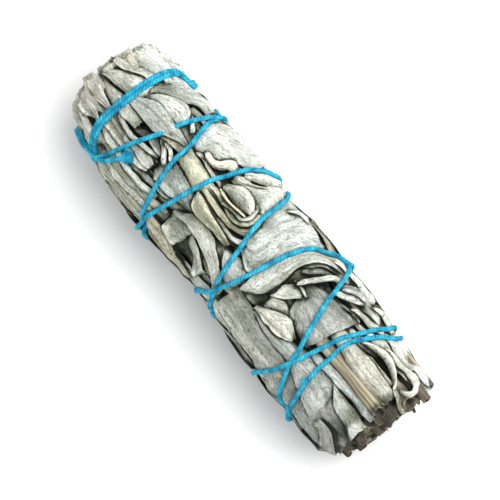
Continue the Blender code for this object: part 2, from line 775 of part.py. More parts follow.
def string_pieces(string, extra, collection):
    """Tubes for the turns and the tail, and balls for the knots, grown by an extra radius."""
    for number, route in enumerate(string["turns"]):
        swell = 0.00001 * (number % 3)
        closed_tube(string_points(route), STRING_RADIUS + extra + swell, "turn", collection)
    tail = string_points(string["tail"])
    closed_tube(tail, STRING_RADIUS + extra + 0.00004, "tail", collection)
    root = tail[-1] + (tail[-2] - tail[-1]) * 0.3
    for tip in string_points(string["tuft"]):
        rod(root, tip, TUFT_RADIUS + extra, TUFT_SIDES, "tuft", collection)
    for centre, (_, size) in zip(string_points(string["knots"]), KNOTS):
        work = bmesh.new()
        place = Matrix.Translation(centre)
        bmesh.ops.create_icosphere(work, subdivisions=1, radius=size + extra, matrix=place)
        mesh = bpy.data.meshes.new("knot")
        work.to_mesh(mesh)
        work.free()
        mesh_object("knot", mesh, collection)


def settled_string(routes, laid):
    """Every route of the string, settled on the leaves."""
    tail = smooth_route(string_rows(TAIL), STRING_STEP / 2)
    tuft = np.array(string_rows(TUFT_TIPS))
    knots = np.array(string_rows([place for place, _ in KNOTS]))
    return {
        "turns": [settled(route, laid) for route in routes],
        "tail": settled(tail, laid),
        "tuft": settled(tuft, laid),
        "knots": settled(knots, laid),
    }


def make_string(string, look, collection, scratch):
    """The binding string as one body."""
    string_pieces(string, 0.0, scratch)
    first = scratch.objects[0]
    base = mesh_object("binding_string", first.data, collection)
    bpy.data.objects.remove(first, do_unlink=True)
    add_boolean(base, "UNION", scratch)
    joined = evaluated_mesh(base)
    base.modifiers.clear()
    base.data = joined
    empty_collection(scratch)
    keep_main_body(base.data)
    base.data.materials.clear()
    base.data.materials.append(look)
    base.data.shade_smooth()
    base.data.set_sharp_from_angle(angle=math.radians(50))
    return base


def lay_leaves(routes, scratch):
    """All the leaves as separate blades, and the record of where they lie."""
    draw = random.Random(SEED)
    marks = string_marks(routes)
    laid = LaidLeaves()
    side_leaves(draw, marks, laid, scratch)
    top_leaves(draw, marks, laid, scratch)
    resting_leaves(draw, marks, laid, scratch)
    end_leaves(draw, scratch)
    return laid


def make_leaf_bunch(string, look, collection, scratch, cutters):
    """The leaves and the packed middle, fused into one body with room for string and stems."""
    bunch = mesh_object("leaf_bunch", core_mesh(), collection)
    string_pieces(string, GAP, cutters)
    for row in STEMS.values():
        start, end = stem_ends(row)
        course = (end - start).normalized()
        deep = start - course * GAP
        rod(deep, end + course * HOLE_OVERRUN, row[-1] + GAP * 1.1, STEM_SIDES, "hole", cutters)
    below = Matrix.Translation((0, 0, -FAR / 2)) @ Matrix.Scale(FAR, 4)
    work = bmesh.new()
    bmesh.ops.create_cube(work, size=1.0, matrix=below)
    mesh = bpy.data.meshes.new("surface")
    work.to_mesh(mesh)
    work.free()
    mesh_object("surface", mesh, cutters)
    add_boolean(bunch, "UNION", scratch)
    add_boolean(bunch, "DIFFERENCE", cutters)
    joined = evaluated_mesh(bunch)
    bunch.modifiers.clear()
    bunch.data = joined
    empty_collection(scratch)
    empty_collection(cutters)
    keep_main_body(bunch.data)
    bunch.data.materials.clear()
    bunch.data.materials.append(look)
    return bunch


def centre_on_origin(items):
    """Shift the meshes so that the origin is under the middle of the whole bunch."""
    corners = np.array([tuple(vert.co) for item in items for vert in item.data.vertices])
    middle = (corners.min(axis=0) + corners.max(axis=0)) / 2
    shift = Matrix.Translation((-middle[0], -middle[1], 0.0))
    for item in items:
        item.data.transform(shift)


def main():
    clear_scene()
    collection = new_collection(BUNCH_COLLECTION)
    scratch = new_collection("joined_pieces")
    cutters = new_collection(CUTTER_COLLECTION)
    leaf_look = material("dried_sage_leaf", (0.48, 0.46, 0.39), 0.9)
    stem_look = material("dried_stem", (0.42, 0.31, 0.17), 0.8)
    string_look = material("blue_cotton", (0.02, 0.42, 0.66), 0.85)
    routes = string_turns()
    laid = lay_leaves(routes, scratch)
    string = settled_string(routes, laid)
    items = [make_leaf_bunch(string, leaf_look, collection, scratch, cutters)]
    items.append(make_string(string, string_look, collection, scratch))
    for name, row in STEMS.items():
        items.append(make_stem(name, row, stem_look, collection))
    centre_on_origin(items)
    bpy.data.collections.remove(scratch)
    bpy.data.collections.remove(cutters)


main()
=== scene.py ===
"""The looks of a dried white sage bunch, bound with one cotton string and lying on its side.

The bunch is laid up from its middle outwards. Every leaf is a curved sheet that drapes over what
lies below it, so leaves overlap and bend round each other. Where ends are tucked in, and where the
string or the outline presses on them, sheets may still cross. The work is done in bunch
coordinates: the station along the axis from the tip end, the angle round the axis from the top
towards +Y, and the height above the outline of the bunch. Lengths are in millimetres until a mesh
is made, except on the stage.
"""

import math

import bpy
import numpy as np
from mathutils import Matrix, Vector, kdtree


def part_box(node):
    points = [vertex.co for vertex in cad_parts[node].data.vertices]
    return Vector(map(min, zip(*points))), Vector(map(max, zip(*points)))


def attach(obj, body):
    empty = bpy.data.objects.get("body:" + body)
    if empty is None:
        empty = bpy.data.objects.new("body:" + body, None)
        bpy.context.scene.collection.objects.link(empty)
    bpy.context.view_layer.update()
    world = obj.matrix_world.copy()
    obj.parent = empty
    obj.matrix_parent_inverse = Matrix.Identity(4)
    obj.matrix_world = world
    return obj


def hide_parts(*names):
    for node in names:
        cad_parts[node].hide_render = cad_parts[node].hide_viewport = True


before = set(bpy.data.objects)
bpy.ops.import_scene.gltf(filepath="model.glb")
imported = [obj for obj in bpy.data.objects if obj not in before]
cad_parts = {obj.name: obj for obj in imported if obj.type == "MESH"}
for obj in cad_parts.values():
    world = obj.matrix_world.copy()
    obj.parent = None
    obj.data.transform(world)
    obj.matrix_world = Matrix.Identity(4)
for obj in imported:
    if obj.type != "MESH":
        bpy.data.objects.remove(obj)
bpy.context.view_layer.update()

# Driving dimensions
MM = 0.001
LENGTH = 130.0
AXIS_HEIGHT = 17.6
STRING_RADIUS = 0.66
SEED = 11

# Half width of the bunch at stations along it, on its +Y side and on its -Y side
UPPER_OUTLINE = (
    (0.0, 8.5), (2.0, 12.0), (5.0, 15.8), (10.0, 17.5), (30.0, 18.1), (50.0, 18.9), (80.0, 19.5),
    (92.0, 19.5), (108.0, 18.3), (122.0, 17.2), (127.0, 15.0), (130.0, 11.5),
)
LOWER_OUTLINE = (
    (0.0, 6.0), (3.0, 11.2), (7.0, 14.2), (15.0, 17.1), (30.0, 19.7), (42.0, 19.8), (58.0, 17.9),
    (72.0, 19.0), (100.0, 19.9), (121.0, 19.3), (126.0, 15.0), (130.0, 11.0),
)

# The camera. The listed leaves and the string are placed as it sees them: a first number along
# the bunch's axis in the picture, and a second across it
CAMERA_AZIMUTH = math.radians(51.7)
CAMERA_ELEVATION = math.radians(80.0)
CAMERA_LENS = 300.0
CAMERA_SENSOR = 36.0
VIEW_WIDTH = 137.0
VIEW_SHIFT = (1.33, -0.68)
AXIS_IN_PICTURE = (0.62577, 0.78001)
WRAP_FROM = 0.965
WRAP = 5.0

# The stage, in metres and degrees: how near and far the camera sees, the floor and the light
NEAREST_SEEN = 0.01
FURTHEST_SEEN = 20.0
FLOOR_SIZE = 8.0
FLOOR_COLOUR = (0.92, 0.92, 0.92)
WORLD_STRENGTH = 0.82
LIT_HEIGHT = 0.018
KEY_LIGHT = {"size": 0.8, "energy": 9.2, "azimuth": 150.0, "elevation": 62.0, "distance": 0.9}

# Leaf sheets: thickness, steps of their grids, wrinkles and creases, the levels that they keep to,
# how their ends are tucked in, and the painted shade beside and below their neighbours and in their creases
SHEET = 0.38
THICKNESS = 0.24
FINE_STEPS = (0.62, 0.36)
RIM = (-0.22, 0.34)
RISE_SHARE = 0.75
WRINKLE = 0.15
CREASE = 0.26
CREASE_SPACING = 1.25
DEEPEST = -5.0
KNEE = -0.2
HIGHEST = 1.0
LEVEL_REACH = 3.0
LEVEL_BLUR = 5.0
TOP_LEVEL = 0.6
DARK_REACH = 1.8
DARK_DEPTH = 2.6
FLOOR_REACH = 1.3
FLOOR_GAP = 0.04
CELL = 0.36
MARGIN = 4.0
SHARP = math.radians(50.0)
TINY = 1e-9
EDGE_TINY = 1e-6
RIM_FROM = 0.8
TUCK_DEPTH = 1.6
TUCK_RATE = 7
FOLD_SIZE = (5, 1.8)
SWELL_SIZE = 9
CREASE_WIDTHS = (0.2, 0.42)
CREASE_DEPTHS = (0.35, 1.0)
DEEPEST_CREASE = 1.3
EDGE_THINNING = 0.4
SHADE_FROM = 0.06
SHADE_FADE = 0.3
FOLD_RELIEF = 0.09
DARK_FROM = 0.25
END_DEPTH_SHADE = 0.25
BRIGHTNESS = (0.86, 1.12)
WARMTH = 0.03
PATTERN_SHIFT = 500
SECTIONS = ("arch", "arch", "tent", "pleat", "gutter", "tilt_up", "tilt_down", "flat")

# How the string presses the leaves, and how it lies on them and on itself
PINCH = 0.5
PINCH_REACH = 3.6
GROOVE_REACH = 1.4
GROOVE_SHOULDER = 1.7
STRING_SINK = 0.55
PRESS_BAND = 0.9
PRESS_SHARE = 0.7
CROSSING_SHARE = 0.9
LEAST_HUMP = 0.2
STRING_CLEAR = 0.06
LANCE_PRESS = 1.0

# Colours of dried sage leaves
WHITE = (0.76, 0.76, 0.70)
PALE = (0.63, 0.65, 0.582)
GRAY = (0.53, 0.545, 0.485)
COOL = (0.47, 0.50, 0.455)
SLATE = (0.385, 0.392, 0.35)
OLIVE = (0.42, 0.415, 0.32)
YELLOW = (0.60, 0.58, 0.43)
CREAM = (0.73, 0.71, 0.625)
STRAW = (0.57, 0.56, 0.47)
TAN = (0.38, 0.32, 0.22)
# Near-black browns and greens of the cut end and of folds in crevices: the leaves' own dark colour, darkened
# further with painted shade
BROWN = (0.042, 0.033, 0.021)
UMBER = (0.062, 0.05, 0.032)
DARK = (0.08, 0.07, 0.05)
MOSS = (0.17, 0.165, 0.11)
TINTS = (PALE, GRAY, COOL, GRAY, OLIVE, GRAY, PALE)
TIP_TINTS = (CREAM, STRAW, PALE, GRAY)
# The leaf ends in the cut end face are darker than their own brown: painted shade of the end face
BUTT_TINTS = (BROWN, UMBER, MOSS, DARK, TAN, BROWN, DARK)
# What the colour loses where its painted value is darkest, so that the painted shade between the leaves is
# more olive
GLOOM_CAST = (-0.12, 0.0, -0.36)

# Grain of the leaf's noises, its cracks as levels with widths, painted dark as shaded grooves, its midrib,
# side veins, and the rim where its painted dark outline of shade begins
LEAF_BLOTCHES = 330.0
LEAF_SPECKLE = 1300.0
LEAF_FELT = 2600.0
CRACK_LEVELS = ((0.50, 0.012), (0.36, 0.014), (0.43, 0.010), (0.56, 0.010), (0.63, 0.014))
RIB_NARROWNESS = 3.2
VEIN_SLOPE = 1.1
VEIN_WOBBLE = 1.2
VEIN_RATE = 3.6
VEIN_FINENESS = 9.0
DARK_RIM = 0.93

# Colours of the imported middle, the string and the stems; the middle's near-black is partly painted shade
# Near-black of the packed middle: the inner leaves' own dark colour, darker still as painted shade that shows
# in the deep gaps between the leaves
PACKED_COLOUR = (0.06, 0.05, 0.03)
STRING_DARK = (0.003, 0.165, 0.300)
STRING_LIGHT = (0.048, 0.560, 0.770)
STRING_MOTTLE = 420.0
STRING_FIBRES = 5200.0
BARK_DARK = (0.15, 0.12, 0.07)
BARK_LIGHT = (0.45, 0.41, 0.29)
# Colours of the cut end of a stem and of the bark beside it: the cut wood's own brown and weathering, darker
# still with painted shade of the end face
CUT_DARK = (0.014, 0.011, 0.007)
CUT_LIGHT = (0.135, 0.110, 0.070)

# Broad leaves of the upper side: layer, section, rise, colour, how far both ends are tucked in,
# and the two long edges as the camera sees them
BROAD_LEAVES = (
    # The fan of the tip end
    (31, "arch", 0.9, PALE, (0.0, 1.0), ((3, 11.4), (8, 12.5), (13, 13.1), (18, 13.4)),
     ((4.6, 8.0), (9, 9.2), (13, 10.8), (17, 12))),
    (33, "arch", 0.8, PALE, (0.0, 1.0), ((3.4, 0.5), (6, 4.2), (9, 6.4), (12, 8.2), (16, 9.4)),
     ((3.6, -0.5), (7, 0.1), (11, 1.0), (16, 2.1))),
    (32, "gutter", 0.4, CREAM, (0.0, 0.6), ((2.2, 9.8), (4.0, 9.9), (6.4, 9.0)),
     ((1.6, 5.4), (4.0, 5.2), (6.4, 6.6))),
    (30, "gutter", 0.5, CREAM, (0.0, 0.6), ((1.2, 5.0), (4, 5.0), (8, 5.0)),
     ((1.8, 0.4), (4, -0.6), (8, 0.2))),
    (28, "pleat", 0.5, CREAM, (0.0, 0.4), ((1.0, -2.6), (4, -2.2), (8, -3.4), (13, -5.2)),
     ((0.4, -6.4), (4, -7.6), (8, -7.0), (13, -5.7))),
    (26, "pleat", 0.5, CREAM, (0.0, 0.4), ((1.2, -7.2), (5, -7.4), (10, -8.4), (15, -10.0)),
     ((3.4, -10.6), (6, -11), (10, -11.0), (15, -10.5))),
    # Leaves between the tip end and the first long turn
    (27, "arch", 1.1, PALE, (0.5, 0.6), ((9, 11), (15, 12.8), (18.3, 15.3), (22.3, 16.6), (31, 17.6)),
     ((9, 3.8), (14.3, 5.2), (17, 7.3), (20.3, 10), (23.7, 12), (26.3, 14), (31, 15.2))),
    (29, "arch", 0.9, PALE, (0.8, 0.0),
     ((16, 6.2), (19, 9.2), (22, 11), (24.5, 12), (27, 11.4), (28.6, 9.4)),
     ((16.4, 5.2), (19, 6.2), (22, 6.0), (24.5, 6.1), (27, 6.4), (28.8, 8.4))),
    (22, "arch", 0.8, GRAY, (0.0, 0.0), ((3, -1.3), (8, -0.5), (14, 0.3), (20.6, -0.2)),
     ((3.2, -2.2), (8, -4.2), (14, -3.9), (20.9, -3.6))),
    (21, "arch", 0.5, GRAY, (0.4, 0.3), ((17, -1.6), (21, -2.4), (24, -0.9), (28, -1.0)),
     ((17, -4.2), (21, -4.0), (25, -3.4), (29, -3.2))),
    (20, "pleat", 0.9, GRAY, (0.0, 0.0), ((5, -4.0), (12, -4.4), (20, -5), (27, -4.6), (32, -4.2)),
     ((5, -8.6), (12, -9.6), (20, -9.8), (27, -9.6), (32, -8.4))),
    (17, "arch", 0.9, GRAY, (0.0, 0.8), ((10, -8.6), (18, -9.0), (26, -8.8), (37, -7.4), (46, -7.0)),
     ((9, -11.9), (18, -12.6), (26, -13.2), (37, -12.6), (46, -11.6))),
    (15, "tent", 0.8, GRAY, (0.4, 0.8), ((12, -11.2), (20, -12.2), (28, -12.6), (38, -11.8), (46, -12.4)),
     ((11, -14.0), (20, -15.4), (28, -15.8), (38, -15.6), (46, -15.4))),
    (14, "arch", 0.8, OLIVE, (0.4, 0.6), ((20, -15.0), (30, -15.0), (44, -14.6), (57, -15.8)),
     ((20, -18.0), (30, -19.6), (44, -20), (57, -19.0))),
    (34, "flat", 0.4, OLIVE, (0.8, 0.8),
     ((26, 3.6), (30, 4.4), (35, 6.0)), ((26, 0.8), (30, 1.4), (35, 2.6))),
    (23, "gutter", 0.7, COOL, (0.6, 0.6), ((24, 1.0), (28, 1.2), (32, 0.4), (35, -1)),
     ((24, -2.4), (28, -2.6), (32, -3), (34.4, -5))),
    # Folded leaves between the first and the fourth turn
    (36, "arch", 1.0, PALE, (0.8, 0.0), ((31.6, 13.6), (35, 16.8), (41, 18.6), (47, 18.9), (51, 19)),
     ((32.6, 7.6), (36.8, 6.6), (39.5, 8.6), (42.4, 9.4), (44.4, 11.6), (47.2, 14), (50.8, 17))),
    (40, "arch", 1.2, YELLOW, (0.0, 0.4), ((34.8, 5.9), (38, 5.6), (43, 4.9), (50, 4.6), (60, 4.6)),
     ((34.7, 0.5), (38, 0.1), (43, -1), (50, -0.4), (60, 0.2))),
    (24, "arch", 0.7, COOL, (0.8, 0.6), ((32, -0.4), (37, -0.2), (43, -1.4), (48, -3)),
     ((33, -7.6), (38, -8.2), (44, -7.4), (49, -6.6))),
    (44, "gutter", 0.8, YELLOW, (0.1, 0.2),
     ((45.1, -0.3), (48, -0.5), (53, -1.6), (58, -2.1), (61.6, -2.9)),
     ((45.3, -2.0), (47, -4.5), (50, -5.4), (55, -4.6), (61, -4.4))),
    (52, "arch", 1.1, PALE, (0.0, 0.3), ((48.4, 8.4), (50.4, 9.5), (53, 10.6), (56.5, 10.0), (59.0, 8.4)),
     ((48.2, 6.0), (50.6, 6.2), (53.4, 5.8), (56, 6.2), (59.0, 6.4))),
    (46, "arch", 0.8, PALE, (0.4, 0.6), ((50, 10.4), (54, 12.6), (58, 15.6), (61, 16.6)),
     ((51, 8.6), (55, 9.6), (58.6, 9.2), (61.4, 9.6))),
    (38, "tilt_down", 0.9, PALE, (0.4, 0.3), ((44.6, -10.4), (47, -8.2), (50, -5.6), (54, -4.9), (59, -5.9),
     (63, -8), (67, -10.8), (70.4, -14)),
     ((44.8, -11.6), (48, -10), (51, -9.4), (55, -9.2), (59, -10), (63, -11.4), (66.6, -13.6),
      (69.6, -16.6))),
    (30, "arch", 0.8, GRAY, (0.0, 0.4), ((44.6, -11), (48, -10), (53, -9.6)),
     ((46.4, -14.2), (49, -14.7), (52.4, -15))),
    (25, "gutter", 0.6, GRAY, (0.4, 0.8), ((53, -10), (57, -10.2), (60.6, -12), (63.6, -14)),
     ((53, -12.4), (57, -13), (59.6, -14.6), (63, -16.8))),
    (21, "arch", 0.7, OLIVE, (0.4, 0.4), ((42, -14.8), (49, -14.6), (56, -16.2), (62, -17)),
     ((42, -18.6), (49, -18.5), (56, -18.2), (62, -18.4))),
    (31, "arch", 0.9, PALE, (0.2, 0.5), ((61.6, -4.4), (65, -3.4), (68.6, -3.2), (71.6, -4.6)),
     ((62.2, -5.6), (65, -8.6), (68.4, -11), (71.6, -10.4))),
    # The broad leaf across the middle and those beside it
    (35, "flat", 0.9, PALE, (0.5, 1.0), ((60.6, 4), (60.4, 8), (60.6, 13), (61.4, 18), (62, 21)),
     ((64, -1.6), (70.8, -3.6), (72.6, 2), (73.6, 9), (76.6, 14), (81, 18.8))),
    (41, "arch", 1.2, PALE, (0.0, 0.5),
     ((72.6, -8), (72.0, -3), (72.4, 2), (73.4, 8), (76, 13.6), (79.4, 17), (85, 19.2)),
     ((73.4, -8.2), (77.4, -4.4), (78.2, 1), (78.2, 8), (79.8, 11.8), (84, 15.4), (89, 17.8))),
    (28, "gutter", 0.7, OLIVE, (0.5, 0.5), ((78.2, 4), (78.6, 8), (80.6, 11.4), (85, 14.6)),
     ((81, 3.8), (82.6, 7), (84.6, 10.2), (87.4, 13.4))),
    (42, "arch", 1.1, SLATE, (0.3, 0.0), ((82, 5.6), (84, 8.6), (88, 10.6), (93, 11.2), (99.6, 11)),
     ((84.4, 1.6), (86, -1.6), (89, -3.6), (92.6, -4.6), (96, -5))),
    (44, "arch", 0.8, PALE, (0.0, 0.0), ((79.2, 2.4), (81.2, 5), (84.6, 4.9)),
     ((79.4, -2.6), (82.4, -0.4), (85, 3.4))),
    (33, "arch", 0.8, GRAY, (0.3, 0.6), ((79.6, -2.2), (83, -0.8), (88, -2.4)),
     ((80, -6.4), (84, -5.6), (88, -5.6))),
    (43, "tent", 1.1, PALE, (0.0, 0.4), ((79, -8), (83, -4.8), (87.4, -2.5), (89.6, -3.4), (92.2, -5.4)),
     ((79.2, -8.9), (83, -8.6), (87, -8.4), (90, -7.8), (92.6, -6.6))),
    # Long leaves of the lower side
    (22, "arch", 0.7, GRAY, (0.3, 0.5), ((71, -8.4), (80, -9.8), (90, -10.6), (98, -11.8), (106, -13.6)),
     ((72, -16), (80, -16.6), (90, -17.4), (98, -18), (106, -18.4))),
    (26, "arch", 0.9, COOL, (0.3, 0.5),
     ((79.6, -8.8), (86, -8.4), (92, -7), (98, -4.8), (106, -3), (109.5, -4)),
     ((80, -9.9), (88, -10.6), (96, -11.4), (104, -13.4), (109, -14.6), (113, -15.6))),
    (24, "arch", 0.8, SLATE, (0.8, 0.0),
     ((98, -5.2), (106, -4.8), (111, -6.6), (117, -9.6), (124.2, -10.2)),
     ((98, -18), (106, -19.2), (113, -19.2), (119, -18.9), (124.4, -17.6))),
    (36, "arch", 0.8, PALE, (0.6, 0.0), ((107, -4), (112, -5), (118, -5.2), (122.8, -5)),
     ((110, -6.4), (113, -8.6), (118, -10), (123.4, -10.8))),
    (25, "tilt_up", 0.7, SLATE, (0.3, 0.0), ((113.3, -13.2), (117, -13.2), (121, -14.2), (124.8, -16.5)),
     ((113.6, -15.6), (116.6, -15.6), (119, -17.4), (120.6, -18.2))),
    (20, "flat", 0.4, GRAY, (0.4, 0.5), ((71, -15.6), (80, -16.8), (90, -17.2), (97, -17.6)),
     ((70, -18.6), (80, -19.2), (90, -19.2), (97, -19.4))),
    # Leaves of the cut end
    (37, "arch", 1.0, STRAW, (0.4, 0.0), ((97, 7), (104, 7.3), (112, 7.2), (121.2, 7.0)),
     ((97, 2.9), (103, 2.6), (107, 1.7), (113, 1.2), (118, 1.7), (121.4, 2.5))),
    (34, "flat", 0.5, PALE, (0.8, 0.0), ((104, 14.4), (110, 14.6), (118, 13.6), (124.8, 14)),
     ((103, 11.4), (110, 11.2), (118, 11.6), (125.2, 12.2))),
    (30, "arch", 0.7, PALE, (0.8, 0.0), ((99, 9.6), (102, 10.6), (106, 11.2), (110, 11.6)),
     ((98, 7.2), (102, 7.3), (106, 8.4), (110, 10))),
)

